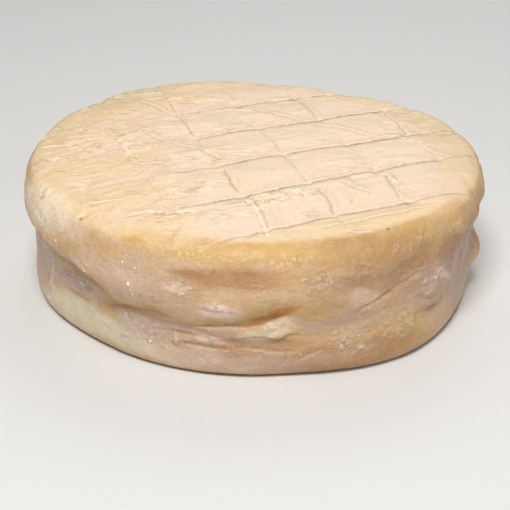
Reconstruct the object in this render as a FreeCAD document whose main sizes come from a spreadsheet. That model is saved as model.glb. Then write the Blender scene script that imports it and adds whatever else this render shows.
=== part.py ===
"""A small whole wheel of soft washed-rind cheese, ripened on a wire rack.

Lengths are millimetres and angles degrees. The wheel stands on its foot at height 0,
with the middle of its bounding box over the origin and its front towards -Y.
"""
import FreeCAD, Part
import math
import os

# Driving sizes: alias, value, meaning.
SIZES = (
    ("wheel_radius", 49.6, "mean radius at the shoulder"),
    ("wheel_height", 30.2, "height of the top over its middle"),
    ("dome_rise", 0.9, "rise of the top from rim to middle"),
    ("lean_rise", 1.5, "rise of the far left rim over the middle"),
    ("lean_azimuth", 112.0, "where the top stands highest"),
    ("edge_width", 3.7, "width of the rounded edge at the back"),
    ("edge_fall", 4.4, "fall of the rounded edge at the back"),
    ("front_roll", 5.2, "extra width and fall of the edge at the front"),
    ("foot_inset", 1.9, "how far the foot stands in from the shoulder"),
    ("foot_round", 2.6, "radius of the rounded lower edge"),
    ("waist_depth", 0.8, "how far the side sinks in at half height"),
    ("pillow_rise", 0.45, "rise of the rind between the rack wires"),
    ("wire_radius", 1.1, "radius of a rack wire"),
    ("wire_depth", 0.42, "how deep the main wires pressed in"),
    ("cross_depth", 0.04, "how deep the cross wires pressed in"),
    ("wire_pitch", 15.8, "distance from wire to wire, both ways"),
    ("main_azimuth", 24.8, "direction of the main wires"),
    ("main_start", -35.4, "place of the nearest main wire"),
    ("cross_azimuth", -70.5, "direction of the cross wires"),
    ("cross_start", -25.9, "place of the leftmost cross wire"),
)

# How far each wire is turned out of its direction, nearest or leftmost first.
MAIN_SKEW = (0.6, 1.2, -0.4, 0.0, -1.2, -6.0)
CROSS_SKEW = (-1.4, -0.5, -1.0, 0.6, 2.6)

# Swellings (+) and flats (-) of the outline: azimuth, half spread, push.
SHOULDER_OUTLINE = (
    (126.0, 64.0, 3.0),
    (74.0, 38.0, -1.2),
    (25.0, 36.0, 1.9),
    (0.0, 60.0, 1.0),
    (180.0, 50.0, 1.0),
    (-90.0, 70.0, -1.1),
)
FOOT_OUTLINE = (
    (122.0, 70.0, 2.8),
    (-132.0, 45.0, -1.4),
    (-88.0, 36.0, -1.2),
    (-48.0, 34.0, 1.9),
    (0.0, 40.0, 0.8),
    (180.0, 44.0, 1.9),
)

# Rises (+) and sags (-) of the top's rim: azimuth, half spread, push.
RIM_OUTLINE = (
    (122.0, 60.0, 0.45),
    (70.0, 36.0, -0.35),
)

# Soft swellings (+) and hollows (-) of the side:
# azimuth, share of the height, half length, half height, push.
SIDE_SWELLINGS = (
    (-96.0, 0.74, 13.0, 3.0, -1.0),
    (-98.0, 0.52, 8.0, 3.0, 0.7),
    (-67.0, 0.52, 9.0, 4.0, 0.5),
    (-64.0, 0.655, 5.0, 1.5, -0.6),
    (-53.0, 0.68, 4.5, 1.8, -0.7),
    (-118.0, 0.62, 10.0, 4.0, 0.9),
    (-142.0, 0.42, 9.0, 4.5, -0.9),
    (-88.0, 0.12, 26.0, 2.2, 0.5),
    (-150.0, 0.14, 16.0, 2.6, 0.6),
    (-42.0, 0.46, 5.5, 3.8, 0.9),
    (-46.0, 0.75, 3.0, 2.0, -0.8),
    (-41.0, 0.29, 3.5, 1.3, -0.5),
    (-8.0, 0.33, 6.0, 3.2, 2.9),
    (-4.0, 0.56, 12.0, 3.0, -0.8),
    (32.0, 0.40, 12.0, 4.0, -0.8),
    (70.0, 0.62, 14.0, 3.5, 0.7),
    (98.0, 0.36, 12.0, 3.5, -0.9),
    (140.0, 0.55, 14.0, 4.0, 0.6),
    (168.0, 0.30, 10.0, 4.0, -0.5),
)

# Folds of the side: push and reach over the fold, push and reach under it, and the
# fold's path as pairs of azimuth and share of the height.
FOLDS = (
    (0.4, 4.5, -1.1, 4.5, ((-186.0, 0.66), (-168.0, 0.70), (-152.0, 0.66), (-136.0, 0.60), (-126.0, 0.48))),
    (0.3, 4.0, -1.0, 3.2, ((-136.0, 0.58), (-125.0, 0.44), (-112.0, 0.41), (-100.0, 0.36))),
    (-1.6, 2.4, 0.8, 2.8, ((-96.0, 0.37), (-88.0, 0.43), (-80.0, 0.50))),
    (0.5, 1.2, -0.6, 1.4, ((-100.0, 0.30), (-92.0, 0.305), (-86.0, 0.28), (-78.0, 0.31))),
    (0.3, 1.2, -0.3, 1.2, ((-112.0, 0.225), (-97.0, 0.215), (-78.0, 0.205))),
    (-0.5, 3.4, 0.4, 5.5, ((-68.0, 0.47), (-60.0, 0.51), (-49.0, 0.62), (-41.0, 0.64))),
    (0.2, 3.0, -0.5, 4.5, ((-38.0, 0.66), (-24.0, 0.73), (-6.0, 0.71), (8.0, 0.66))),
    (0.5, 3.0, -0.9, 4.0, ((62.0, 0.50), (84.0, 0.56), (104.0, 0.50))),
)
FOLD_END = 5.0

# Upright drapes at the right-hand end: azimuth, half width, push.
DRAPES = (
    (-36.0, 1.4, -0.5),
    (-31.0, 1.7, 0.4),
    (-26.0, 1.5, -0.7),
    (-20.0, 1.9, 0.6),
    (-14.0, 1.6, -0.7),
    (-7.0, 2.2, 0.5),
    (0.0, 1.8, -0.6),
)
DRAPE_HEIGHT, DRAPE_REACH = 0.60, 8.0

# Where the edge rolls over most, and half the spread of that roll.
ROLL_CENTRE, ROLL_SPREAD = -98.0, 105.0

COLUMNS = 120
TOP_ROWS, EDGE_ROWS, SIDE_ROWS, FOOT_ROWS = 16, 8, 17, 5
DEGREE = 3
WIRE_REACH = 1.25


def make_sheet(document):
    """The sheet of driving sizes, with two sizes worked out from the others."""
    sheet = document.addObject("Spreadsheet::Sheet", "Sizes")
    for line, (name, value, meaning) in enumerate(SIZES, start=1):
        sheet.set(f"A{line}", meaning)
        sheet.set(f"B{line}", str(value))
        sheet.setAlias(f"B{line}", name)
    line = len(SIZES) + 1
    sheet.set(f"A{line}", "radius of the dome of the top")
    sheet.set(f"B{line}", "=wheel_radius * wheel_radius / (2 * dome_rise)")
    sheet.setAlias(f"B{line}", "dome_radius")
    sheet.set(f"A{line + 1}", "turn of the dome that a wire spans")
    sheet.set(f"B{line + 1}", f"={2 * WIRE_REACH} * wheel_radius / dome_radius * 180 / pi")
    sheet.setAlias(f"B{line + 1}", "wire_turn")
    document.recompute()
    return sheet


def ease(share):
    """Eases a share from 0 to 1 and holds it outside."""
    share = min(1.0, max(0.0, share))
    return share * share * (3.0 - 2.0 * share)


def mix(first, second, share):
    """The value a share of the way from the first to the second."""
    return first + (second - first) * share


def apart(azimuth, other):
    """Signed difference of two azimuths, from -180 to 180."""
    return (azimuth - other + 180.0) % 360.0 - 180.0


def heading(azimuth):
    """Unit vector towards an azimuth."""
    return FreeCAD.Vector(math.cos(math.radians(azimuth)), math.sin(math.radians(azimuth)), 0.0)


def around(azimuth, centre, half_spread):
    """1 at the centre azimuth, easing to 0 half a spread away."""
    return ease(1.0 - abs(apart(azimuth, centre)) / half_spread)


def swelling(azimuth, outline):
    """Sum of the swellings of one outline at an azimuth."""
    return sum(push * around(azimuth, centre, spread) for centre, spread, push in outline)


def bell(distance, reach):
    """A bell curve of height 1 that has fallen to 0.37 at its reach."""
    return math.exp(-(distance / reach) ** 2)


def wire_lines(sizes, azimuth, start, skews):
    """Direction and sideways place of every wire of one layer of the rack."""
    return [(azimuth + skew, start + number * sizes.wire_pitch) for number, skew in enumerate(skews)]


def main_lines(sizes):
    """The main wires, nearest first."""
    return wire_lines(sizes, sizes.main_azimuth, sizes.main_start, MAIN_SKEW)


def cross_lines(sizes):
    """The cross wires, leftmost first."""
    return wire_lines(sizes, sizes.cross_azimuth, sizes.cross_start, CROSS_SKEW)


def beside(azimuth, x, y):
    """How far a point lies to the left of a line through the middle."""
    return y * math.cos(math.radians(azimuth)) - x * math.sin(math.radians(azimuth))


def pillow(lines, x, y):
    """0 on the wires of a layer, rising to 1 half way between two of them."""
    places = [beside(azimuth, x, y) - place for azimuth, place in lines]
    over = [distance for distance in places if distance >= 0.0]
    under = [-distance for distance in places if distance < 0.0]
    if not over or not under:
        return ease(min(over + under) / 8.0) * 0.5
    near, far = min(over), min(under)
    return math.sin(math.pi * near / (near + far)) ** 2


def dome_height(sizes, x, y):
    """Height of the plain dome of the top, which leans back to one side."""
    lean = heading(sizes.lean_azimuth)
    slope = sizes.lean_rise / sizes.wheel_radius
    fall = (x * x + y * y) / (2.0 * sizes.dome_radius)
    return sizes.wheel_height + slope * (x * lean.x + y * lean.y) - fall


def top_height(sizes, x, y):
    """Height of the top with the pillows that swelled up between the wires."""
    rise = sizes.pillow_rise * pillow(main_lines(sizes), x, y)
    cross_rise = sizes.pillow_rise * pillow(cross_lines(sizes), x, y)
    rim = swelling(math.degrees(math.atan2(y, x)), RIM_OUTLINE)
    rim_share = (math.hypot(x, y) / sizes.wheel_radius) ** 5
    return dome_height(sizes, x, y) + 0.75 * rise + 0.25 * cross_rise + rim * rim_share


def path_height(path, azimuth):
    """Height share of a fold at an azimuth, and how many degrees inside its ends that lies."""
    middle = (path[0][0] + path[-1][0]) / 2.0
    place = middle + apart(azimuth, middle)
    inside = min(place - path[0][0], path[-1][0] - place)
    for (start, low), (end, high) in zip(path, path[1:]):
        if start <= place <= end:
            return mix(low, high, (place - start) / (end - start)), inside
    return path[0][1], inside


def fold_push(sizes, fold, azimuth, height):
    """Push of one fold: a step between what lies over it and what lies under it."""
    over_push, over_reach, under_push, under_reach, path = fold
    share, inside = path_height(path, azimuth)
    end = math.radians(inside) * sizes.wheel_radius
    if end <= 0.0:
        return 0.0
    above = height - share * sizes.wheel_height
    if above >= 0.0:
        return over_push * math.exp(-above / over_reach) * ease(end / FOLD_END)
    return under_push * math.exp(above / under_reach) * ease(end / FOLD_END)


def side_push(sizes, azimuth, height):
    """Everything that pushes the side out (+) or in (-) at one place."""
    push = 0.0
    for centre, share, half_length, half_height, amount in SIDE_SWELLINGS:
        along = math.radians(apart(azimuth, centre)) * sizes.wheel_radius
        over = height - share * sizes.wheel_height
        push += amount * bell(along, half_length) * bell(over, half_height)
    for fold in FOLDS:
        push += fold_push(sizes, fold, azimuth, height)
    for centre, half_width, amount in DRAPES:
        along = math.radians(apart(azimuth, centre)) * sizes.wheel_radius
        over = height - DRAPE_HEIGHT * sizes.wheel_height
        push += amount * bell(along, half_width) * bell(over, DRAPE_REACH)
    return push


def profile(sizes, azimuth):
    """Points (radius, height) from the middle of the top down to the foot ring."""
    out = heading(azimuth)
    shoulder = sizes.wheel_radius + swelling(azimuth, SHOULDER_OUTLINE)
    foot = sizes.wheel_radius - sizes.foot_inset + swelling(azimuth, FOOT_OUTLINE)
    roll = sizes.front_roll * around(azimuth, ROLL_CENTRE, ROLL_SPREAD)
    width = sizes.edge_width + roll
    fall = sizes.edge_fall + roll
    flat = shoulder - width
    rows = []
    for row in range(TOP_ROWS):
        radius = flat * row / TOP_ROWS
        rows.append((radius, top_height(sizes, radius * out.x, radius * out.y)))
    edge = top_height(sizes, flat * out.x, flat * out.y)
    for row in range(EDGE_ROWS):
        turn = math.pi / 2.0 * row / EDGE_ROWS
        height = edge - fall * (1.0 - math.cos(turn))
        push = side_push(sizes, azimuth, height) * ease(row / EDGE_ROWS)
        rows.append((flat + width * math.sin(turn) + push, height))
    for row in range(SIDE_ROWS):
        share = row / SIDE_ROWS
        height = mix(edge - fall, sizes.foot_round, share)
        radius = mix(shoulder, foot, ease(share)) - sizes.waist_depth * math.sin(math.pi * share) ** 2
        rows.append((radius + side_push(sizes, azimuth, height), height))
    push = side_push(sizes, azimuth, sizes.foot_round)
    for row in range(FOOT_ROWS + 1):
        turn = math.pi / 2.0 * row / FOOT_ROWS
        height = sizes.foot_round * (1.0 - math.sin(turn))
        rows.append((foot + push * (1.0 - row / FOOT_ROWS) - sizes.foot_round * (1.0 - math.cos(turn)), height))
    return rows


def skin_poles(sizes):
    """The control points of the skin, column by column round the wheel."""
    columns = []
    for column in range(COLUMNS):
        azimuth = 360.0 * column / COLUMNS
        out = heading(azimuth)
        rows = profile(sizes, azimuth)
        columns.append([FreeCAD.Vector(out.x * radius, out.y * radius, height) for radius, height in rows])
    return columns


def skin_solid(sizes):
    """The wheel without wire marks: one closed skin over a flat foot."""
    poles = skin_poles(sizes)
    row_knots = len(poles[0]) - DEGREE + 1
    row_times = [DEGREE + 1] + [1] * (row_knots - 2) + [DEGREE + 1]
    surface = Part.BSplineSurface()
    surface.buildFromPolesMultsKnots(
        poles,
        [1] * (COLUMNS + 1),
        row_times,
        [float(knot) for knot in range(COLUMNS + 1)],
        [float(knot) for knot in range(row_knots)],
        True,
        False,
        DEGREE,
        DEGREE,
    )
    skin = surface.toShape()
    ring = min(skin.Edges, key=lambda edge: edge.BoundBox.ZMax)
    shell = Part.makeShell([skin, Part.Face(Part.Wire([ring]))])
    shell.sewShape()
    return Part.Solid(shell)


def add_skin(document, sizes):
    """The skin, whose uneven form no sketch or primitive can give, set over the origin."""
    skin = document.addObject("Part::Feature", "skin")
    skin.Shape = skin_solid(sizes)
    centre = skin.Shape.optimalBoundingBox(False, False).Center
    skin.Placement = FreeCAD.Placement(FreeCAD.Vector(-centre.x, -centre.y, 0.0), FreeCAD.Rotation())
    return skin


def add_wire(document, sizes, name, depth_name, azimuth, place, shift):
    """One rack wire as a slice of a ring that follows the dome of the top."""
    along = heading(azimuth)
    across = FreeCAD.Vector(-along.y, along.x, 0.0)
    lean = heading(sizes.lean_azimuth)
    slope = sizes.lean_rise / sizes.wheel_radius * along.dot(lean)
    apex = slope * sizes.dome_radius
    middle = along * apex + across * place
    top = dome_height(sizes, middle.x, middle.y)
    start = (-WIRE_REACH * sizes.wheel_radius - apex) / sizes.dome_radius
    up = FreeCAD.Vector(0.0, 0.0, 1.0)
    first = up * math.cos(start) + along * math.sin(start)
    onward = along * math.cos(start) - up * math.sin(start)
    wire = document.addObject("Part::Torus", name)
    wire.setExpression("Radius1", f"Sizes.dome_radius + Sizes.wire_radius - Sizes.{depth_name}")
    wire.setExpression("Radius2", "Sizes.wire_radius")
    wire.setExpression("Angle3", "Sizes.wire_turn")
    turn = FreeCAD.Rotation(first, onward, across, "XYZ")
    base = FreeCAD.Vector(middle.x, middle.y, top - sizes.dome_radius)
    wire.Placement = FreeCAD.Placement(base + shift, turn)
    return wire


def press_wires(document, sizes, body, layer, depth_name, lines, shift):
    """Cuts the marks of one layer of rack wires out of a body."""
    wires = []
    for number, (azimuth, place) in enumerate(lines, start=1):
        name = f"{layer}_wire_{number}"
        wires.append(add_wire(document, sizes, name, depth_name, azimuth, place, shift))
    rack = document.addObject("Part::Compound", f"{layer}_wires")
    rack.Links = wires
    pressed = document.addObject("Part::Cut", f"{layer}_pressed")
    pressed.Base = body
    pressed.Tool = rack
    return pressed


def faults(document):
    """Names of the objects that failed to compute."""
    return [item.Name for item in document.Objects if {"Invalid", "Error"} & set(item.State)]


def main():
    """Builds the wheel, checks it and writes its file."""
    os.makedirs("parts", exist_ok=True)
    document = FreeCAD.newDocument("cheese")
    sizes = make_sheet(document)
    skin = add_skin(document, sizes)
    shift = skin.Placement.Base
    body = press_wires(document, sizes, skin, "main", "wire_depth", main_lines(sizes), shift)
    wheel = press_wires(document, sizes, body, "cross", "cross_depth", cross_lines(sizes), shift)
    wheel.Label = "cheese_wheel"
    document.recompute()
    assert not faults(document), faults(document)
    assert not wheel.Shape.isNull() and wheel.Shape.isValid(), wheel.Label
    assert len(wheel.Shape.Solids) == 1, len(wheel.Shape.Solids)
    wheel.Shape.exportStep(f"parts/{wheel.Label}.step")
    box = wheel.Shape.optimalBoundingBox(False, False)
    print("box", [round(v, 3) for v in (box.XMin, box.XMax, box.YMin, box.YMax, box.ZMin, box.ZMax)])
    print("volume", round(wheel.Shape.Volume, 1), "faces", len(wheel.Shape.Faces))


main()
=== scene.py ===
"""Looks of a small whole wheel of soft washed-rind cheese that ripened on a wire rack.

Shape work is done in millimetres over the foot of the wheel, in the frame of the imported
part, and turned into metres when a mesh is made. Azimuths are degrees seen from above,
with the front of the wheel at -90 and its right-hand end at 0.
"""

import logging
import math
from dataclasses import dataclass
from enum import Enum
from itertools import product
from typing import Any

import bpy
import numpy as np
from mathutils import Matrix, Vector
from mathutils.bvhtree import BVHTree
from mathutils.geometry import delaunay_2d_cdt


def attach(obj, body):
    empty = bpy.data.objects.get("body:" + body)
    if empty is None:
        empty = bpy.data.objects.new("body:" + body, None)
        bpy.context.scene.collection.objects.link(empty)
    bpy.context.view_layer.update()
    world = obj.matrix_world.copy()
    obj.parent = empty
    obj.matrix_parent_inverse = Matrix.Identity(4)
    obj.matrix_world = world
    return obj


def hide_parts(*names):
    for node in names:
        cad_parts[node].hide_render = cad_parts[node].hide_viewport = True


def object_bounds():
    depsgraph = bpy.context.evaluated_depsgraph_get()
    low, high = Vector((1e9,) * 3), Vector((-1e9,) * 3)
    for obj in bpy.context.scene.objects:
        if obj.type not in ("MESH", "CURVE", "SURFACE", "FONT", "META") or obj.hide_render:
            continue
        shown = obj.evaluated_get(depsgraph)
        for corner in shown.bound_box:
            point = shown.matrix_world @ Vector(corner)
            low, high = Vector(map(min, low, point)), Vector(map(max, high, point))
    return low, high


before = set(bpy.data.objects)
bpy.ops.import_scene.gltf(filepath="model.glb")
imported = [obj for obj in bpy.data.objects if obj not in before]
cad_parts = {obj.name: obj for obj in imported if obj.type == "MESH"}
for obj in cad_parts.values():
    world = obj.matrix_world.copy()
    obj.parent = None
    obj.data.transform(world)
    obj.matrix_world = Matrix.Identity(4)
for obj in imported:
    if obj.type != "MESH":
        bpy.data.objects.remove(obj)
CAD_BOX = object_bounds()

LOG = logging.getLogger("cheese")
Array = np.ndarray
Faces = list[tuple[int, ...]]
Colour = tuple[float, float, float, float]
MM = 0.001
WHEEL_NODE = "cheese_wheel"
WHEEL_HEIGHT = CAD_BOX[1].z / MM
WHEEL_RADIUS = CAD_BOX[1].x / MM
SET_OVER = (-0.12, -0.98)  # where the middle of the rack's pattern lies on the wheel
SPOT_EDGE = 1.5  # how far a soft-edged spot reaches, in its own half sizes

# Whole numbers that stir the seed and the cell of a pattern, and the span they end up in.
SEED_STEP, SEED_START, LAYER_STEP = 7919, 17, 31
CELL_SHIFT, STIR, STIR_MORE, STIR_BITS = 4096, 73244475, 1013904223, 15
KEPT_BITS, READ_BITS, HALF_SPAN = 0x7FFFFFFF, 0xFFFF, 32767.5
LAYERED_SHARE = 0.62  # brings a sum of layers back to about between -1 and 1

# Steps from wire to wire through the patterns of their wandering and of their depth.
WANDER_ROW, DEPTH_ROW = 1.7, 2.3


def ease(share: Array) -> Array:
    """Eases shares from 0 to 1 and holds them outside."""
    held = np.clip(share, 0.0, 1.0)
    return held * held * (3.0 - 2.0 * held)


def rise(value: Array, start: float, width: float) -> Array:
    """0 up to a start, and 1 from one width further on."""
    return ease((value - start) / width)


def bell(distance: Array, reach: float) -> Array:
    """A bell curve of height 1 that has fallen to 0.37 at its reach."""
    return np.exp(-((distance / reach) ** 2))


def notch(distance: Array, reach: float) -> Array:
    """A sharp peak of height 1 that has fallen to 0.37 at its reach."""
    return np.exp(-np.abs(distance) / reach)


def apart(azimuth: Array, other: float) -> Array:
    """Signed difference of azimuths in degrees, from -180 to 180."""
    return (azimuth - other + 180.0) % 360.0 - 180.0


def turned(x: Array, y: Array, azimuth: float) -> tuple[Array, Array]:
    """How far places lie along a direction, and how far to its left."""
    cosine, sine = math.cos(math.radians(azimuth)), math.sin(math.radians(azimuth))
    return x * cosine + y * sine, y * cosine - x * sine


def paint(red: float, green: float, blue: float) -> Colour:
    """Turns a colour as seen on a screen into the renderer's own values.

    Args:
        red: its red, 0 to 255.
        green: its green.
        blue: its blue.

    Returns:
        The opaque colour.
    """
    shades = [shade / 255.0 for shade in (red, green, blue)]
    linear = [s / 12.92 if s <= 0.04045 else ((s + 0.055) / 1.055) ** 2.4 for s in shades]
    return (linear[0], linear[1], linear[2], 1.0)


@dataclass(frozen=True)
class Unevenness:
    """Smooth, seeded unevenness in space.

    Args:
        seed: picks one of many patterns.
    """

    seed: int

    def at(self, spots: Array) -> Array:
        """Values between -1 and 1 that change smoothly over one unit of length.

        Args:
            spots: one row of coordinates for each place.

        Returns:
            One value for each place.
        """
        cell = np.floor(spots).astype(np.int64)
        inner = spots - cell
        fade = inner**3 * (inner * (inner * 6.0 - 15.0) + 10.0)
        total = np.zeros(len(spots))
        for corner in product((0, 1), repeat=spots.shape[1]):
            weight = np.ones(len(spots))
            mixed = np.full(len(spots), self.seed * SEED_STEP + SEED_START, dtype=np.int64)
            for axis, step in enumerate(corner):
                weight = weight * (fade[:, axis] if step else 1.0 - fade[:, axis])
                mixed = ((mixed ^ (cell[:, axis] + step + CELL_SHIFT)) * STIR + STIR_MORE) & KEPT_BITS
                mixed = mixed ^ (mixed >> STIR_BITS)
            total += weight * ((mixed & READ_BITS) / HALF_SPAN - 1.0)
        return total

    def layered(self, spots: Array, layers: int) -> Array:
        """Sum of ever finer and weaker layers, still about between -1 and 1.

        Args:
            spots: one row of coordinates for each place.
            layers: how many layers there are.

        Returns:
            One value for each place.
        """
        total = np.zeros(len(spots))
        for layer in range(layers):
            total += Unevenness(self.seed + LAYER_STEP * layer).at(spots * 2.0**layer) * 0.5**layer
        return total * LAYERED_SHARE

    def along(self, run: Array, length: float, row: float) -> Array:
        """Unevenness along a line, one swing over about a length, each line with its own row."""
        return self.layered(np.stack([run / length, np.full_like(run, row)], axis=1), 2)


@dataclass(frozen=True)
class Ripple:
    """A layered unevenness with its own grain and height.

    Args:
        seed: picks its pattern.
        grain: length of one swing, or one for each axis.
        height: how high it swings.
        layers: how many ever finer layers it has.
    """

    seed: int
    grain: float | tuple[float, ...]
    height: float = 1.0
    layers: int = 2

    def over(self, spots: Array) -> Array:
        """Its height at places, one row of coordinates for each."""
        return self.height * Unevenness(self.seed).layered(spots / np.array(self.grain), self.layers)


@dataclass(frozen=True)
class Wrinkles:
    """One field of long wrinkles.

    Args:
        seed: picks its pattern.
        length: length of a wrinkle.
        width: distance from wrinkle to wrinkle.
        height: how high they stand, or how deep they are.
    """

    seed: int
    length: float
    width: float
    height: float

    def wave(self, spots: Array) -> Array:
        """Between -1 and 1 at places along and across the wrinkles, crossing 0 at each wrinkle."""
        return Unevenness(self.seed).at(spots / np.array([self.length, self.width]))


@dataclass(frozen=True)
class RackLayer:
    """One layer of parallel rack wires.

    Args:
        azimuth: common direction.
        start: place of the first wire.
        skews: how far each wire is turned out of the direction.
        depths: depth of each crease.
        seed: picks the wandering.
        sway: how far the marks wander.
        wear_length: length over which their depth changes.
        crease: share of the depth that is a sharp crease.
        crease_reach: half width of the crease.
        crease_loss: share of the crease that is lost outside the rim.
        dish: share of the depth that is a wide dish.
        dish_reach: half width of the dish.
        bend_length: length of the marks' bends.
        pitch: distance from wire to wire.
    """

    azimuth: float
    start: float
    skews: tuple[float, ...]
    depths: tuple[float, ...]
    seed: int
    sway: float
    wear_length: float
    crease: float
    crease_reach: float
    crease_loss: float
    dish: float
    dish_reach: float = 1.0
    bend_length: float = 7.0
    pitch: float = 15.8

    def wires(self) -> "list[RackWire]":
        """Every wire of the layer."""
        return [
            RackWire(self, self.azimuth + skew, self.start + number * self.pitch, depth, self.seed + number)
            for number, (skew, depth) in enumerate(zip(self.skews, self.depths))
        ]


@dataclass(frozen=True)
class RackWire:
    """The mark of one wire of the ripening rack on the top.

    Args:
        layer: the layer of wires that it belongs to.
        azimuth: direction of the wire.
        place: how far to the left of the middle it runs.
        depth: depth of its mark.
        seed: picks its wandering.
    """

    layer: RackLayer
    azimuth: float
    place: float
    depth: float
    seed: int

    def along_and_beside(self, x: Array, y: Array) -> tuple[Array, Array]:
        """How far places lie along the wire, and how far to its left."""
        along, left = turned(x - SET_OVER[0], y - SET_OVER[1], self.azimuth)
        return along, left - self.place

    def wander(self, along: Array) -> Array:
        """How far the crease strays from the straight wire."""
        bends = Unevenness(self.seed).along(along, self.layer.bend_length, self.seed * WANDER_ROW)
        return bends * self.layer.sway

    def beside_crease(self, x: Array, y: Array) -> tuple[Array, Array]:
        """How far places lie along the wire, and how far to the left of its wandering crease."""
        along, beside = self.along_and_beside(x, y)
        return along, beside - self.wander(along)

    def wear(self, along: Array) -> Array:
        """Unevenness of the mark's depth along the wire, between -1 and 1."""
        return Unevenness(self.seed + 3).along(along, self.layer.wear_length, self.seed * DEPTH_ROW)

    def dent(self, beside: Array, outside: Array) -> Array:
        """Form of the mark for a depth of 1.

        Args:
            beside: how far places lie to the left of the crease.
            outside: 0 on the top and 1 outside its rim.

        Returns:
            Depth at the places, as shares of the wire's depth.
        """
        layer = self.layer
        crease = (layer.crease - layer.crease_loss * outside) * notch(beside, layer.crease_reach)
        return crease + layer.dish * bell(beside, layer.dish_reach)

    def spot(self, along: Array, beside: float) -> Array:
        """Places on the top along the crease.

        Args:
            along: distances along the wire.
            beside: distance to the left of its crease.

        Returns:
            One place for each distance.
        """
        off = self.place + beside + self.wander(along)
        east, north = turned(along, off, -self.azimuth)
        return np.stack([east + SET_OVER[0], north + SET_OVER[1]], axis=1)


MAIN_WIRES = RackLayer(
    azimuth=24.8,
    start=-35.4,
    skews=(0.6, 1.2, -0.4, 0.0, -1.2, -6.0),
    depths=(0.46, 0.44, 0.4, 0.38, 0.32, 0.28),
    seed=11,
    sway=0.45,
    wear_length=9.0,
    crease=0.55,
    crease_reach=0.42,
    crease_loss=0.2,
    dish=0.2,
)
CROSS_WIRES = RackLayer(
    azimuth=-70.5,
    start=-25.9,
    skews=(-1.4, -0.5, -1.0, 0.6, 2.6),
    depths=(0.06, 0.1, 0.12, 0.1, 0.08),
    seed=41,
    sway=0.8,
    wear_length=7.0,
    crease=0.75,
    crease_reach=0.3,
    crease_loss=0.0,
    dish=0.3,
)


@dataclass(frozen=True)
class SidePath:
    """A line round the side, from point to point.

    Args:
        points: pairs of azimuth and height, azimuths rising.
        end: length over which whatever follows the path fades in at its ends.
    """

    points: tuple[tuple[float, float], ...]
    end: float = 4.0

    def over(self, azimuth: Array, height: Array) -> tuple[Array, Array]:
        """Where places lie from the path.

        Args:
            azimuth: azimuths of the places.
            height: heights of the places.

        Returns:
            Heights over the path, and 1 beside it, falling to 0 at its ends.
        """
        turns, rises = np.array(self.points).T
        middle = (turns[0] + turns[-1]) / 2.0
        place = middle + apart(azimuth, middle)
        slope = np.interp(place, (turns[:-1] + turns[1:]) / 2.0, np.diff(rises) / np.diff(turns))
        tilt = 1.0 / np.sqrt(1.0 + (slope / math.radians(1.0) / WHEEL_RADIUS) ** 2)
        inside = np.minimum(place - turns[0], turns[-1] - place)
        beside = ease(np.radians(inside) * WHEEL_RADIUS / self.end)
        return (height - np.interp(place, turns, rises)) * tilt, beside


@dataclass(frozen=True)
class TopFold:
    """A short fold on the top that runs from point to point.

    Args:
        points: places of its ends and bends.
        depth: depth of the fold.
        reach: half width of its crease.
        crease: depth of the crease as a share of the fold's.
        swell: height of the swelling on its far side, as a share of the depth.
        swell_place: where the swelling stands, in reaches.
        swell_reach: how wide the swelling is, in reaches.
        end: length over which the fold fades in at its ends.
        blunt: how far into that length it starts.
        sway: how far it strays from its straight pieces.
        pattern: picks how it strays.
    """

    points: tuple[tuple[float, float], ...]
    depth: float
    reach: float = 0.4
    crease: float = 0.6
    swell: float = 0.7
    swell_place: float = 2.2
    swell_reach: float = 2.0
    end: float = 2.5
    blunt: float = 0.25
    sway: float = 0.3
    pattern: int = 5

    def over(self, x: Array, y: Array) -> tuple[Array, Array]:
        """Where places lie from the fold.

        Args:
            x: places to the right.
            y: places to the back.

        Returns:
            How far they lie to its left, and 1 beside it, falling to 0 at its ends.
        """
        nearest = np.full(len(x), 2.0 * WHEEL_RADIUS)
        beside = np.zeros(len(x))
        passed = np.zeros(len(x))
        length = 0.0
        for start, end in zip(self.points, self.points[1:]):
            piece = math.dist(start, end)
            run = ((end[0] - start[0]) / piece, (end[1] - start[1]) / piece)
            east, north = x - start[0], y - start[1]
            along = np.clip(east * run[0] + north * run[1], 0.0, piece)
            far = np.hypot(east - along * run[0], north - along * run[1])
            closer = far < nearest
            nearest = np.where(closer, far, nearest)
            beside = np.where(closer, np.copysign(far, north * run[0] - east * run[1]), beside)
            passed = np.where(closer, length + along, passed)
            length += piece
        beside = beside + self.sway * Unevenness(self.pattern).along(passed, self.end, self.points[0][0])
        return beside, ease(passed / self.end + self.blunt) * ease((length - passed) / self.end + self.blunt)

    def push(self, beside: Array, shown: Array) -> Array:
        """How far the fold pushes the rind.

        Args:
            beside: how far places lie to its left.
            shown: how strongly it shows there.

        Returns:
            Push at the places: a crease with a low swelling on its far side.
        """
        crease = -self.crease * self.depth * notch(beside, self.reach)
        swelling = bell(beside - self.swell_place * self.reach, self.swell_reach * self.reach)
        return (crease + self.swell * self.depth * swelling) * shown


@dataclass(frozen=True)
class Crumple:
    """A spot on the top where the skin is crumpled and pale.

    Args:
        middle: place of its middle.
        azimuth: direction of its length.
        half_length: half its length.
        half_width: half its width.
        strength: how crumpled it is in its middle.
    """

    middle: tuple[float, float]
    azimuth: float
    half_length: float
    half_width: float
    strength: float

    def mask(self, x: Array, y: Array) -> Array:
        """How crumpled places are by this spot."""
        along, beside = turned(x - self.middle[0], y - self.middle[1], self.azimuth)
        return self.strength * ease(SPOT_EDGE - np.hypot(along / self.half_length, beside / self.half_width))


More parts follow.
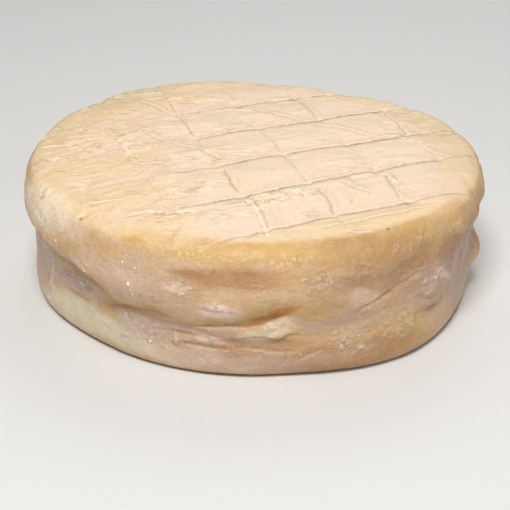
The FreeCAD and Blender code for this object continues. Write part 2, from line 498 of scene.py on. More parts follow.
@dataclass(frozen=True)
class SideFold:
    """A fold of the side: a crease with a lip over or under it.

    Args:
        path: line of the crease.
        depth: depth of the crease.
        reach: half width of the crease.
        lip: height of the lip, over the crease if positive and under it if negative.
        lip_reach: how far the lip spreads.
        lip_place: how far from the crease the lip stands, as a share of its reach.
    """

    path: SidePath
    depth: float
    reach: float
    lip: float
    lip_reach: float
    lip_place: float = 0.8

    def push(self, over: Array, shown: Array) -> Array:
        """How far the fold pushes the rind out.

        Args:
            over: heights of the places over its path.
            shown: how strongly it shows there.

        Returns:
            Push at the places.
        """
        crease = -self.depth * notch(over, self.reach)
        beside = over * np.sign(self.lip) - self.lip_place * self.lip_reach
        return (crease + abs(self.lip) * bell(beside, self.lip_reach)) * shown


@dataclass
class NearestCrease:
    """For every place, how the crease that matters most lies to it.

    Args:
        count: number of places.
        far: distance where there is no crease yet.
        weight_reach: distance over which a crease matters less.
        shown_reach: distance at which a crease no longer shows.
        fade: width over which it fades out.
    """

    count: int
    far: float = 9.0
    weight_reach: float = 0.7
    shown_reach: float = 2.4
    fade: float = 1.2

    def __post_init__(self) -> None:
        """Starts with no crease anywhere."""
        self.beside = np.full(self.count, self.far)
        self.shown = np.zeros(self.count)
        self.score = np.zeros(self.count)

    def add(self, beside: Array, shown: Array) -> None:
        """Takes up one more crease where it matters more than those before.

        Args:
            beside: signed distance to the crease.
            shown: how strongly the crease shows.
        """
        score = shown * notch(beside, self.weight_reach)
        closer = score > self.score
        self.beside = np.where(closer, beside, self.beside)
        self.shown = np.where(closer, shown, self.shown)
        self.score = np.where(closer, score, self.score)

    def share(self) -> Array:
        """How strongly the crease shows, falling to 0 away from it."""
        return self.shown * ease((self.shown_reach - np.abs(self.beside)) / self.fade)


class Layer(Enum):
    """Tints and textures that the rind takes in places, each named as its mask. The tan, mauve and amber
    tints and the pink of the pads are partly painted shade; the crease mask is painted shade.
    """

    OCHRE = "ochre"
    TAN_AND_SHADE = "tan"
    MAUVE_AND_SHADE = "mauve"
    CREAM = "cream"
    FROST = "frost"
    AMBER_AND_SHADE = "amber"
    IVORY = "ivory"
    ROSE = "rose"
    FLAKE = "flake"
    PINK_SHADE = "pink"
    TORN = "torn"
    RIM = "rim"
    CREASE_SHADE = "crease"
    MARK = "mark"
    MARK_SIDE = "mark_side"
    FOLD = "fold"
    FOLD_SIDE = "fold_side"
    TOP = "top"
    WARM = "warm"
    WRINKLED = "wrinkled"


@dataclass(frozen=True)
class Patch:
    """A soft-edged patch of a tint on the side.

    Args:
        azimuth: azimuth of its middle.
        height: height of its middle.
        half_length: half its length round the side.
        half_height: half its height.
        strength: how strong it is in its middle.
        rise: how much it climbs for each unit of length.
    """

    azimuth: float
    height: float
    half_length: float
    half_height: float
    strength: float
    rise: float = 0.0

    def mask(self, azimuth: Array, height: Array) -> Array:
        """Strength of the patch at places on the side.

        Args:
            azimuth: azimuths of the places.
            height: heights of the places.

        Returns:
            Strength at the places.
        """
        along = np.radians(apart(azimuth, self.azimuth)) * WHEEL_RADIUS
        over = height - self.height - self.rise * along
        return self.strength * ease(SPOT_EDGE - np.hypot(along / self.half_length, over / self.half_height))


SIDE_FOLDS = (
    SideFold(
        SidePath(((-178.0, 19.6), (-166.0, 21.0), (-152.0, 19.9), (-146.0, 17.9), (-139.0, 17.6))),
        0.6, 0.3, 0.25, 1.2,
    ),
    SideFold(SidePath(((-134.5, 20.3), (-130.5, 19.3)), 1.0), 0.3, 0.25, 0.12, 0.8),
    SideFold(SidePath(((-139.0, 17.6), (-131.0, 17.2), (-127.0, 14.6)), 3.0), 0.2, 0.4, 0.12, 1.2),
    SideFold(
        SidePath(((-131.0, 10.8), (-124.0, 12.4), (-115.0, 13.8), (-107.0, 13.2))),
        0.25, 0.5, 0.12, 1.4,
    ),
    SideFold(SidePath(((-113.0, 9.4), (-106.0, 8.8), (-103.0, 8.6)), 2.0), 0.3, 0.3, 0.15, 0.8),
    SideFold(SidePath(((-146.0, 9.8), (-140.0, 9.4), (-135.5, 9.1)), 2.0), 0.28, 0.3, 0.15, 0.7),
    SideFold(SidePath(((-138.0, 6.9), (-134.0, 7.1)), 1.0), 0.2, 0.25, 0.1, 0.6),
    SideFold(SidePath(((-132.0, 6.3), (-128.5, 5.3)), 1.0), 0.16, 0.25, 0.08, 0.6),
    SideFold(SidePath(((-126.5, 4.5), (-124.0, 5.4), (-121.5, 5.7)), 1.0), 0.16, 0.25, 0.08, 0.6),
    SideFold(
        SidePath(((-105.0, 11.5), (-96.0, 12.4), (-91.5, 12.2), (-84.0, 14.1), (-81.0, 15.8)), 3.0),
        0.55, 0.4, -0.3, 1.3,
    ),
    SideFold(
        SidePath(((-95.0, 9.1), (-90.0, 9.3), (-84.5, 8.3), (-82.0, 9.5), (-78.5, 9.4)), 2.0),
        0.35, 0.35, 0.2, 0.9,
    ),
    SideFold(
        SidePath(((-110.0, 7.0), (-103.0, 6.6), (-97.0, 6.4), (-94.0, 7.0), (-88.0, 6.5), (-79.0, 6.2))),
        0.28, 0.35, -0.2, 0.9,
    ),
    SideFold(
        SidePath(((-67.0, 14.1), (-63.0, 14.6), (-60.0, 15.5), (-57.0, 16.3), (-55.5, 16.9)), 2.0),
        0.5, 0.35, 0.16, 0.8,
    ),
    SideFold(
        SidePath(((-59.5, 15.6), (-54.0, 17.4), (-49.0, 18.7), (-42.5, 19.3)), 5.0),
        0.3, 0.7, 0.2, 1.4,
    ),
    SideFold(
        SidePath(((-48.5, 13.4), (-46.0, 12.4), (-43.5, 12.0), (-40.0, 13.0)), 1.5),
        0.22, 0.25, 0.15, 0.6,
    ),
    SideFold(SidePath(((-46.5, 9.4), (-41.0, 8.8), (-36.0, 8.4)), 2.5), 0.25, 0.4, 0.2, 0.9),
    SideFold(SidePath(((-49.8, 6.4), (-48.4, 9.6)), 0.4), 0.3, 0.3, 0.2, 0.6),
    SideFold(SidePath(((-80.5, 4.0), (-77.0, 5.0), (-73.0, 5.9)), 1.5), 0.22, 0.3, -0.2, 0.7),
    SideFold(SidePath(((-91.5, 21.3), (-87.5, 20.8)), 1.0), 0.24, 0.25, 0.12, 0.5),
    SideFold(SidePath(((-78.0, 21.2), (-74.5, 21.6)), 1.0), 0.2, 0.25, 0.12, 0.5),
    SideFold(SidePath(((-77.0, 23.1), (-73.0, 23.5)), 1.0), 0.2, 0.25, 0.12, 0.5),
    SideFold(SidePath(((-71.0, 22.4), (-66.0, 21.6)), 1.0), 0.16, 0.25, 0.1, 0.5),
    SideFold(SidePath(((-66.0, 23.4), (-61.0, 22.6)), 1.0), 0.14, 0.25, 0.1, 0.5),
    SideFold(SidePath(((64.0, 15.0), (84.0, 16.8), (102.0, 15.2)), 5.0), 0.3, 0.6, 0.2, 1.5),
    SideFold(SidePath(((124.0, 12.0), (140.0, 14.6), (158.0, 13.0)), 5.0), 0.3, 0.5, 0.2, 1.4),
)
TOP_FOLDS = (
    TopFold(((-21.0, 30.3), (-19.0, 23.1)), 0.2),
    TopFold(((-17.7, 19.7), (-13.9, 8.0)), 0.28),
    TopFold(((-6.9, -10.6), (-5.0, -18.0), (-3.3, -22.3)), 0.35),
    TopFold(((10.5, 33.0), (13.0, 26.0), (14.8, 20.0)), 0.28),
    TopFold(((3.6, 4.6), (5.8, -1.3)), 0.2),
    TopFold(((30.7, 25.4), (33.5, 17.3), (35.6, 7.7)), 0.28),
    TopFold(((12.6, -18.7), (14.4, -24.0), (16.0, -33.0)), 0.42),
    TopFold(((27.4, -11.0), (28.5, -17.0), (29.8, -24.4)), 0.32),
    TopFold(((37.9, 3.0), (40.1, 0.0), (42.8, -0.7)), 0.28),
    TopFold(((-0.5, -25.9), (1.2, -30.3), (2.7, -40.0)), 0.25),
    TopFold(((-28.3, 30.3), (-24.3, 26.7), (-21.2, 23.0)), 0.3),
    TopFold(((-34.8, 14.5), (-30.1, 8.0)), 0.28),
    TopFold(((-26.0, 9.3), (-22.0, 5.8), (-19.3, 4.0)), 0.3),
    TopFold(((-19.0, 3.9), (-13.3, -0.2), (-6.5, -6.4)), 0.35),
    TopFold(((-1.2, 26.8), (4.8, 21.7), (10.4, 18.6)), 0.3),
    TopFold(((12.9, 16.3), (19.2, 13.7), (26.4, 9.3)), 0.32),
    TopFold(((17.0, 35.0), (22.0, 31.0)), 0.25),
    TopFold(((17.1, -16.2), (21.3, -20.4), (24.3, -22.5)), 0.32),
    TopFold(((19.3, -27.1), (20.5, -24.4)), 0.35, 0.2),
    TopFold(((27.4, 8.2), (31.0, 9.6), (36.0, 8.6)), 0.3),
    TopFold(((12.0, -38.6), (20.0, -34.8), (35.6, -27.2)), 0.3),
    TopFold(((-25.8, -33.6), (-20.9, -32.2), (-12.0, -31.0)), 0.35),
    TopFold(((-34.3, -28.7), (-30.4, -27.4), (-27.0, -26.5)), 0.3),
    TopFold(((-49.0, 0.8), (-45.2, 1.4), (-40.8, 1.7)), 0.3),
    TopFold(((-36.5, -15.6), (-31.8, -14.1)), 0.25),
)
CRUMPLES = (
    Crumple((-28.8, 2.5), -70.0, 7.5, 1.2, 0.9),
    Crumple((-25.8, -7.0), -65.0, 3.5, 1.4, 0.9),
    Crumple((-10.0, -19.5), -65.0, 2.4, 1.0, 0.8),
    Crumple((29.2, -15.8), -70.0, 5.5, 1.1, 0.8),
    Crumple((35.0, 8.9), -60.0, 3.0, 1.0, 0.6),
    Crumple((-38.0, 1.0), 24.0, 4.0, 2.5, 0.5),
    Crumple((-43.0, -5.0), 24.0, 3.0, 1.2, 0.6),
    Crumple((-15.5, -31.5), 24.0, 6.0, 1.6, 0.5),
    Crumple((-8.4, -6.3), 24.0, 3.0, 0.8, 0.6),
    Crumple((-14.0, -23.0), 24.0, 6.0, 1.8, 0.5),
    Crumple((0.2, -28.0), -70.0, 3.0, 1.0, 0.7),
    Crumple((-43.0, -21.0), -40.0, 3.5, 1.2, 0.4),
)
PATCHES: dict[Layer, tuple[Patch, ...]] = {
    Layer.OCHRE: (
        Patch(-120.0, 26.8, 3.0, 0.6, 0.8),
        Patch(-113.0, 27.0, 10.0, 1.8, 0.42),
        Patch(-95.0, 26.8, 12.0, 2.0, 0.85),
        Patch(-77.0, 27.2, 12.0, 2.2, 0.85),
        Patch(-58.0, 27.2, 14.0, 2.2, 0.8),
        Patch(-38.0, 27.0, 11.0, 2.2, 0.7),
        Patch(-87.0, 14.9, 5.5, 1.7, 0.9, 0.25),
        Patch(-77.0, 15.5, 4.0, 2.4, 0.5),
        Patch(-56.0, 7.6, 10.0, 3.2, 0.5),
        Patch(-62.0, 24.2, 16.0, 1.8, 0.4),
        Patch(90.0, 26.6, 50.0, 2.0, 0.6),
    ),
    # brown tan, and painted shade in the valleys and hollows, along the foot and over the darker right-hand
    # side
    Layer.TAN_AND_SHADE: (
        Patch(-96.0, 22.6, 10.0, 2.0, 1.0),
        Patch(-106.5, 23.4, 3.0, 0.8, 0.6),
        Patch(-148.0, 16.8, 3.0, 0.8, 0.9, -0.2),
        Patch(-137.0, 16.2, 7.0, 2.0, 0.9, -0.05),
        Patch(-129.0, 16.5, 2.8, 2.6, 0.6),
        Patch(-141.0, 9.6, 5.5, 0.6, 0.8, -0.06),
        # painted shade in the shadowed valley under the fold
        Patch(-121.0, 12.4, 9.5, 1.6, 1.0, 0.17),
        Patch(-110.0, 9.1, 4.0, 0.5, 0.7),
        Patch(-102.0, 6.9, 8.0, 0.6, 0.7),
        Patch(-87.0, 7.8, 8.0, 1.2, 0.9),
        Patch(-63.0, 19.8, 5.5, 1.2, 0.7, -0.08),
        Patch(-54.0, 20.0, 5.0, 1.6, 0.6, 0.25),
        Patch(-47.0, 22.0, 3.0, 1.8, 0.4, 0.4),
        Patch(-41.5, 8.8, 4.0, 0.9, 0.8),
        Patch(-36.0, 19.5, 5.0, 4.0, 0.8, -0.3),
        Patch(-22.0, 22.0, 10.0, 4.0, 0.7),
        # painted shade along the foot
        Patch(-64.0, 4.0, 14.0, 3.4, 1.0),
        # painted shade: the right-hand side darker
        Patch(-57.0, 20.5, 17.0, 5.0, 0.6),
        Patch(-64.0, 26.2, 12.0, 2.6, 0.35),
        Patch(40.0, 19.0, 20.0, 3.0, 0.6),
        Patch(130.0, 15.0, 24.0, 2.6, 0.7),
        # painted shade along the foot
        Patch(-80.0, 3.6, 11.0, 2.8, 0.5),
        Patch(-102.0, 5.2, 8.0, 2.2, 0.8),
        Patch(-91.0, 8.6, 5.0, 1.3, 0.7),
        Patch(-60.0, 27.6, 14.0, 1.6, 0.3),
        # painted shade along the foot
        Patch(-68.0, 5.2, 8.0, 2.2, 0.4),
    ),
    # grey mauve, and painted shade under the lip, in the hollow and along the foot
    Layer.MAUVE_AND_SHADE: (
        Patch(-160.0, 13.0, 11.0, 6.0, 0.8),
        Patch(-142.0, 12.2, 7.5, 2.2, 0.75),
        Patch(-117.0, 9.6, 8.0, 2.2, 0.7),
        Patch(-117.0, 20.0, 9.0, 4.0, 0.4),
        Patch(-100.0, 10.4, 7.0, 1.4, 0.5),
        Patch(-70.0, 11.5, 8.0, 2.4, 0.4),
        Patch(-45.0, 15.2, 8.0, 4.0, 0.65),
        Patch(-26.0, 13.0, 10.0, 8.0, 0.8),
        Patch(20.0, 13.0, 20.0, 4.0, 0.4),
        Patch(165.0, 15.0, 16.0, 4.0, 0.5),
        # painted shade along the foot
        Patch(-84.0, 4.2, 11.0, 2.2, 0.4),
        Patch(-102.0, 4.4, 8.0, 2.4, 0.65),
        # painted shade under the lip
        Patch(-88.0, 8.0, 6.0, 1.5, 0.25),
        # painted shade in the hollow under the ochre band
        Patch(-62.0, 19.5, 8.0, 2.0, 0.2),
        Patch(-86.0, 12.0, 4.0, 1.0, 0.3),
        # painted shade along the foot
        Patch(-66.0, 5.0, 9.0, 2.4, 0.15),
        Patch(-38.0, 27.6, 8.0, 2.0, 0.2),
        Patch(-119.0, 6.0, 7.0, 3.0, 0.3),
    ),
    Layer.CREAM: (
        Patch(-142.0, 5.8, 13.0, 2.8, 1.0),
        Patch(-150.0, 3.0, 14.0, 2.4, 0.8),
        Patch(-92.0, 3.0, 12.0, 2.2, 0.3),
        Patch(-113.0, 4.4, 9.0, 2.6, 0.55),
        Patch(-125.0, 5.4, 7.0, 3.4, 0.75),
        Patch(60.0, 5.0, 50.0, 4.0, 0.6),
    ),
    Layer.FROST: (
        Patch(-142.0, 12.2, 6.0, 2.2, 0.9),
        Patch(-138.0, 11.0, 5.0, 1.8, 1.0),
        Patch(-118.0, 10.2, 6.0, 1.1, 0.9),
        Patch(-113.5, 7.0, 5.0, 1.6, 0.9),
        Patch(-98.0, 15.6, 4.0, 1.6, 0.9),
        Patch(-101.0, 8.3, 3.0, 1.0, 1.0),
        Patch(-107.0, 20.0, 4.0, 1.4, 0.5),
        Patch(-86.0, 11.2, 4.4, 1.5, 0.6, 0.2),
        Patch(-80.5, 25.4, 1.8, 0.8, 0.7),
        Patch(-76.0, 21.6, 3.4, 2.0, 0.35),
        Patch(-66.0, 14.4, 2.4, 1.4, 0.7),
        Patch(-67.0, 7.4, 4.0, 2.6, 0.7),
        Patch(-56.0, 8.0, 6.0, 2.6, 0.4),
        Patch(-44.0, 14.6, 5.0, 2.6, 0.8),
        Patch(-150.0, 25.0, 9.0, 3.0, 0.3),
        Patch(150.0, 13.0, 14.0, 3.0, 0.7),
        Patch(70.0, 12.0, 12.0, 3.0, 0.6),
    ),
    # amber of the pocket over the lip, darkened as painted shade
    Layer.AMBER_AND_SHADE: (
        Patch(-83.6, 15.4, 3.0, 1.5, 1.0, 0.35),
        Patch(-88.5, 13.3, 3.6, 0.7, 0.8, 0.2),
        Patch(-98.0, 12.4, 5.0, 0.4, 0.5, 0.05),
    ),
    Layer.IVORY: (
        Patch(-153.0, 26.2, 13.0, 3.4, 1.0),
        Patch(-87.0, 11.2, 5.2, 1.8, 1.0, 0.2),
    ),
    Layer.ROSE: (
        Patch(-108.0, 4.0, 10.0, 2.6, 0.4),
        Patch(-125.0, 19.0, 10.0, 4.0, 0.3),
        Patch(-118.0, 10.0, 7.0, 2.0, 0.4),
        Patch(-139.0, 10.8, 6.0, 2.2, 0.25),
        Patch(-43.0, 15.2, 4.0, 2.2, 0.2),
        Patch(-98.0, 15.6, 4.4, 1.9, 1.0),
        Patch(-108.0, 20.2, 2.6, 0.9, 0.7),
        Patch(-101.0, 8.3, 3.0, 0.9, 0.9),
        Patch(-64.0, 16.8, 4.0, 1.5, 0.6),
        Patch(-38.0, 14.8, 4.0, 1.0, 0.9, -0.65),
        Patch(-67.0, 7.4, 4.0, 2.4, 0.2),
    ),
}


class WheelForm:
    """A wheel's surface, read with rays.

    Args:
        node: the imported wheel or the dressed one.
    """

    def __init__(self, node: bpy.types.Object) -> None:
        """Reads the wheel's mesh."""
        corners = [vertex.co / MM for vertex in node.data.vertices]
        faces = [tuple(polygon.vertices) for polygon in node.data.polygons]
        self.tree = BVHTree.FromPolygons(corners, faces)

    def drop(self, x: float, y: float) -> float:
        """Height of the top at one place."""
        hit = self.tree.ray_cast(Vector((x, y, 2.0 * WHEEL_HEIGHT)), Vector((0.0, 0.0, -1.0)))[0]
        return hit.z

    def reach(self, start: Vector, towards: Vector) -> float:
        """Distance from a place inside to the skin in one direction."""
        return self.tree.ray_cast(start, towards)[3]

    def touch(self, spot: tuple[float, float, float]) -> tuple[Vector, Vector]:
        """The place of the skin nearest to a spot, and its outward direction."""
        place, outward = self.tree.find_nearest(Vector(spot))[:2]
        return place, outward


@dataclass(frozen=True)
class WheelNet:
    """The wheel's surface without its rack marks, as one fine mesh.

    The middle of the top is a net of small triangles whose corners follow the rack's
    creases. Round it runs a band of rows, cast outwards from a ring inside the wheel,
    down to the foot.

    Args:
        form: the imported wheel's surface.
        columns: corners in each row of the band.
        rows: rows in the band.
        net: spacing of the net.
        core_radius: radius of the ring inside the wheel.
        core_height: height of that ring.
        first_turn: how steeply the band's first row is cast upwards.
        last_turn: how steeply its last row is cast.
        mark_reach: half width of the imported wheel's rack marks.
        mark_height: height over which they lie, as a share of the wheel's.
        bridging: rounds in which the band's marks are bridged over.
        crease_spacing: spacing of corners along a crease.
        crease_rows: rows of corners beside a crease.
        clearance: free width beside those rows, in spacings of the net.
        steepest: greatest slope of the net.
    """

    form: WheelForm
    columns: int = 600
    rows: int = 110
    net: float = 0.47
    core_radius: float = 33.5
    core_height: float = 15.0
    first_turn: float = 62.0
    last_turn: float = -80.0
    mark_reach: float = 1.15
    mark_height: float = 0.8
    bridging: int = 150
    crease_spacing: float = 0.42
    crease_rows: tuple[float, ...] = (-0.55, -0.2, 0.0, 0.2, 0.5)
    clearance: float = 0.6
    steepest: float = 0.5

    def wires(self) -> list[RackWire]:
        """Every rack wire, main ones first."""
        return MAIN_WIRES.wires() + CROSS_WIRES.wires()

    def mark_distance(self, x: Array, y: Array) -> tuple[Array, Array]:
        """Finds the rack mark nearest to each place.

        Args:
            x: places to the right.
            y: places to the back.

        Returns:
            Distance to the nearest mark, and that wire's azimuth.
        """
        nearest = np.full(len(x), 2.0 * WHEEL_RADIUS)
        azimuth = np.zeros(len(x))
        for wire in self.wires():
            beside = np.abs(wire.along_and_beside(x, y)[1])
            closer = beside < nearest
            nearest = np.where(closer, beside, nearest)
            azimuth = np.where(closer, wire.azimuth, azimuth)
        return nearest, azimuth

    def band(self) -> Array:
        """Casts the band, with the rack marks bridged over.

        Returns:
            Its corners, row by row from the top to the foot.
        """
        azimuths = np.arange(self.columns) * 360.0 / self.columns
        turns = np.linspace(self.first_turn, self.last_turn, self.rows)
        far = np.zeros((self.rows, self.columns))
        for row, turn in enumerate(np.radians(turns)):
            for column, azimuth in enumerate(np.radians(azimuths)):
                out = Vector((math.cos(azimuth), math.sin(azimuth), 0.0))
                start = out * self.core_radius + Vector((0.0, 0.0, self.core_height))
                towards = out * math.cos(turn) + Vector((0.0, 0.0, math.sin(turn)))
                far[row, column] = self.form.reach(start, towards)
        corners = self.place_band(azimuths, turns, far)
        distance = self.mark_distance(corners[:, :, 0].ravel(), corners[:, :, 1].ravel())[0]
        on_top = corners[:, :, 2] > self.mark_height * WHEEL_HEIGHT
        marked = (distance.reshape(far.shape) < self.mark_reach) & on_top
        marked[0] = False
        for _ in range(self.bridging):
            beside = np.roll(far, 1, 1) + np.roll(far, -1, 1)
            near = (beside + np.roll(far, 1, 0) + np.roll(far, -1, 0)) / 4.0
            far = np.where(marked, near, far)
        return self.place_band(azimuths, turns, far)

    def place_band(self, azimuths: Array, turns: Array, far: Array) -> Array:
        """Turns the band's ray lengths into places.

        Args:
            azimuths: azimuth of each column.
            turns: how steeply each row is cast.
            far: length of each ray.

        Returns:
            Places of the band's corners.
        """
        out = np.radians(azimuths)[None, :]
        turn = np.radians(turns)[:, None]
        radius = self.core_radius + far * np.cos(turn)
        height = self.core_height + far * np.sin(turn)
        return np.stack([radius * np.cos(out), radius * np.sin(out), height], axis=2)

    def spots(self, ring: Array) -> Array:
        """Spreads the net's corners inside a ring, denser along the creases.

        Args:
            ring: the band's first row.

        Returns:
            Places in plan.
        """
        count = int(WHEEL_RADIUS / self.net)
        across, up = np.meshgrid(np.arange(-count, count + 1), np.arange(-count, count + 1))
        x = (across + 0.5 * (up % 2)).ravel() * self.net
        y = up.ravel() * self.net * math.sqrt(0.75)
        along = np.arange(-WHEEL_RADIUS, WHEEL_RADIUS, self.crease_spacing)
        spots = np.stack([x, y], axis=1)
        for wire in reversed(self.wires()):
            beside = wire.beside_crease(spots[:, 0], spots[:, 1])[1]
            clear = np.abs(beside) > self.crease_rows[-1] + self.clearance * self.net
            spots = np.concatenate([spots[clear]] + [wire.spot(along, row) for row in self.crease_rows])
        edge = np.hypot(ring[:, 0], ring[:, 1])
        azimuth = np.degrees(np.arctan2(spots[:, 1], spots[:, 0])) % 360.0
        limit = np.interp(azimuth, np.arange(len(edge) + 1) * 360.0 / len(edge), np.append(edge, edge[0]))
        return spots[np.hypot(spots[:, 0], spots[:, 1]) < limit - self.net / 2.0]

    def heights(self, spots: Array) -> Array:
        """Heights of the net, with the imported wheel's rack marks bridged over.

        Args:
            spots: places in plan.

        Returns:
            One height for each place.
        """
        distance, azimuth = self.mark_distance(spots[:, 0], spots[:, 1])
        heights = np.zeros(len(spots))
        for number, (x, y) in enumerate(spots):
            if distance[number] > self.mark_reach:
                heights[number] = self.form.drop(x, y)
                continue
            turn = math.radians(azimuth[number] + 90.0)
            step = 2.0 * self.mark_reach
            east, north = math.cos(turn) * step, math.sin(turn) * step
            ahead, behind = self.form.drop(x + east, y + north), self.form.drop(x - east, y - north)
            heights[number] = (ahead + behind) / 2.0
        return heights

    def parts(self) -> tuple[Array, Faces]:
        """Corners and faces of the wheel.

        Returns:
            Places of the corners, and the corners of each face.
        """
        band = self.band()
        ring = band[0]
        spots = self.spots(ring)
        first = len(spots)
        points = [Vector(spot) for spot in spots] + [Vector(place[:2]) for place in ring]
        loop = [(first + column, first + (column + 1) % self.columns) for column in range(self.columns)]
        _, _, triangles, origins, _, _ = delaunay_2d_cdt(points, loop, [], 1, MM * MM)
        faces = [tuple(origins[corner][0] for corner in face) for face in triangles]
        heights = np.concatenate([self.heights(spots), ring[:, 2]])
        heights = calmed(heights, np.concatenate([spots, ring[:, :2]]), faces, self.steepest)
        net = np.concatenate([np.column_stack([spots, heights[:first]]), ring])
        middle_of_foot = [[0.0, 0.0, band[-1, :, 2].mean()]]
        corners = np.concatenate([net, band[1:].reshape(-1, 3), middle_of_foot])
        for row, column in product(range(self.rows - 1), range(self.columns)):
            after = (column + 1) % self.columns
            upper = first + row * self.columns
            lower = upper + self.columns
            faces.append((upper + column, lower + column, lower + after, upper + after))
        foot = first + (self.rows - 1) * self.columns
        for column in range(self.columns):
            faces.append((foot + (column + 1) % self.columns, foot + column, len(corners) - 1))
        return corners, faces


def calmed(values: Array, corners: Array, faces: Faces, steepest: float, rounds: int = 6) -> Array:
    """Evens out values that change so fast that the skin would fold over itself.

    Args:
        values: one value for each corner.
        corners: places of the corners.
        faces: faces between them.
        steepest: greatest change for each unit of length.
        rounds: how often they are evened out.

    Returns:
        The values, evened out where they were too steep.
    """
    pairs = np.array([(face[place - 1], face[place]) for face in faces for place in range(len(face))])
    first, second = pairs.T
    lengths = np.linalg.norm(corners[first] - corners[second], axis=1)
    count = len(values)
    for _ in range(rounds):
        steep = np.abs(values[first] - values[second]) > steepest * lengths
        middle = (values[first][steep] + values[second][steep]) / 2.0
        ends = np.concatenate([first[steep], second[steep]])
        total = np.bincount(ends, np.tile(middle, 2), count)
        shares = np.bincount(ends, minlength=count)
        values = np.where(shares > 0, total / np.maximum(shares, 1), values)
    return values


def outward_directions(corners: Array, faces: Faces) -> Array:
    """Outward unit direction at every corner of a mesh.

    Args:
        corners: places of the corners.
        faces: the corners of each face.

    Returns:
        One direction for each corner.
    """
    triangles = [face[:3] for face in faces]
    triangles += [(face[0], face[2], face[3]) for face in faces if len(face) == 4]
    triples = np.array(triangles)
    first, second, third = (corners[triples[:, place]] for place in range(3))
    across = np.cross(second - first, third - first)
    total = np.zeros_like(corners)
    for place, axis in product(range(3), range(3)):
        total[:, axis] += np.bincount(triples[:, place], across[:, axis], len(corners))
    return total / np.linalg.norm(total, axis=1)[:, None]


@dataclass(frozen=True)
class TopRelief:
    """Relief of the top: rack marks, folds, wrinkles and torn skin.

    Args:
        x: places to the right.
        y: places to the back.
        masks: the rind's masks, which it adds to.
        rim: radius over which the marks fade towards the edge.
        rim_width: width of that fading.
        rim_loss: share of a mark's freshness lost there.
        worn_from: where the marks stop fading towards the left.
        worn_width: width of that fading.
        worn_share: freshness of the marks at the left.
        upper_lip: height of the pad just behind a main wire.
        upper_reach: how far that lip spreads.
        lower_lip: how far the pad sinks just before a main wire.
        lower_reach: how far that sinking spreads.
        pink_reach: how far the pink, partly painted shade of the pads, spreads behind a main wire.
        pink_before: how far it spreads before the wire.
        depth_range: least share of a main mark's depth, and how much it changes.
        gap_range: the same for a cross mark, which shows only in stretches.
        cross_shown: how strongly a cross mark shows for each unit of depth.
        fold_shown: how strongly a fold shows for each unit of depth.
        lowest: deepest that marks and folds may go together.
        swell: soft swelling of the whole top.
    """

    x: Array
    y: Array
    masks: dict[Layer, Array]
    rim: float = 39.5
    rim_width: float = 2.0
    rim_loss: float = 0.5
    worn_from: float = -26.0
    worn_width: float = 24.0
    worn_share: float = 0.35
    upper_lip: float = 0.18
    upper_reach: float = 1.2
    lower_lip: float = 0.12
    lower_reach: float = 2.4
    pink_reach: float = 5.5
    pink_before: float = 0.8
    depth_range: tuple[float, float] = (0.9, 0.5)
    gap_range: tuple[float, float] = (0.45, 1.4)
    cross_shown: float = 5.0
    fold_shown: float = 3.0
    lowest: float = -0.6
    swell: Ripple = Ripple(91, 7.0, 0.14, 3)

    def marks(self, push: Array, nearest: NearestCrease, outside: Array) -> None:
        """Presses the main wires' marks and lays the pink behind them, partly painted shade of the pads.

        Args:
            push: push of the rind, which it changes.
            nearest: the nearest main mark, which it adds to.
            outside: 0 on the top and 1 outside its rim.
        """
        worn = self.worn_share + (1.0 - self.worn_share) * rise(self.x, self.worn_from, self.worn_width)
        fresh = worn * (1.0 - self.rim_loss * outside)
        least, change = self.depth_range
        behind = np.zeros(len(self.x))
        for wire in MAIN_WIRES.wires():
            along, beside = wire.beside_crease(self.x, self.y)
            depth = least + change * wire.wear(along)
            push -= wire.depth * depth * fresh * wire.dent(beside, outside)
            upper = self.upper_lip * notch(beside, self.upper_reach)
            push += np.where(beside > 0.0, upper, -self.lower_lip * notch(beside, self.lower_reach))
            nearest.add(beside, depth * fresh)
            pink = np.where(beside > 0.0, notch(beside, self.pink_reach), notch(beside, self.pink_before))
            behind = np.maximum(behind, pink)
        self.masks[Layer.PINK_SHADE] = behind

    def folds(self, push: Array, nearest: NearestCrease, outside: Array) -> None:
        """Presses the cross wires' marks and the folds.

        Args:
            push: push of the rind, which it changes.
            nearest: the nearest cross mark or fold, which it adds to.
            outside: 0 on the top and 1 outside its rim.
        """
        least, change = self.gap_range
        for wire in CROSS_WIRES.wires():
            along, beside = wire.beside_crease(self.x, self.y)
            depth = ease(least + change * wire.wear(along))
            push -= wire.depth * depth * wire.dent(beside, outside)
            nearest.add(beside, self.cross_shown * wire.depth * depth * (1.0 - outside))
        for fold in TOP_FOLDS:
            beside, shown = fold.over(self.x, self.y)
            push += fold.push(beside, shown)
            nearest.add(beside, np.minimum(self.fold_shown * fold.depth, 1.0) * shown)

    def total(self) -> tuple[Array, NearestCrease, NearestCrease]:
        """The whole relief of the top.

        Returns:
            Push of the rind, the nearest main mark, and the nearest cross mark or fold.
        """
        push = np.zeros(len(self.x))
        marks, folds = NearestCrease(len(self.x)), NearestCrease(len(self.x))
        outside = rise(np.hypot(self.x, self.y), self.rim, self.rim_width)
        self.marks(push, marks, outside)
        self.folds(push, folds, outside)
        wrinkles = TopWrinkles().push(self.x, self.y, self.masks)
        torn = TornSkin().push(self.x, self.y, self.masks)
        push = np.maximum(push, self.lowest) + wrinkles + torn
        return push + self.swell.over(np.stack([self.x, self.y], axis=1)), marks, folds


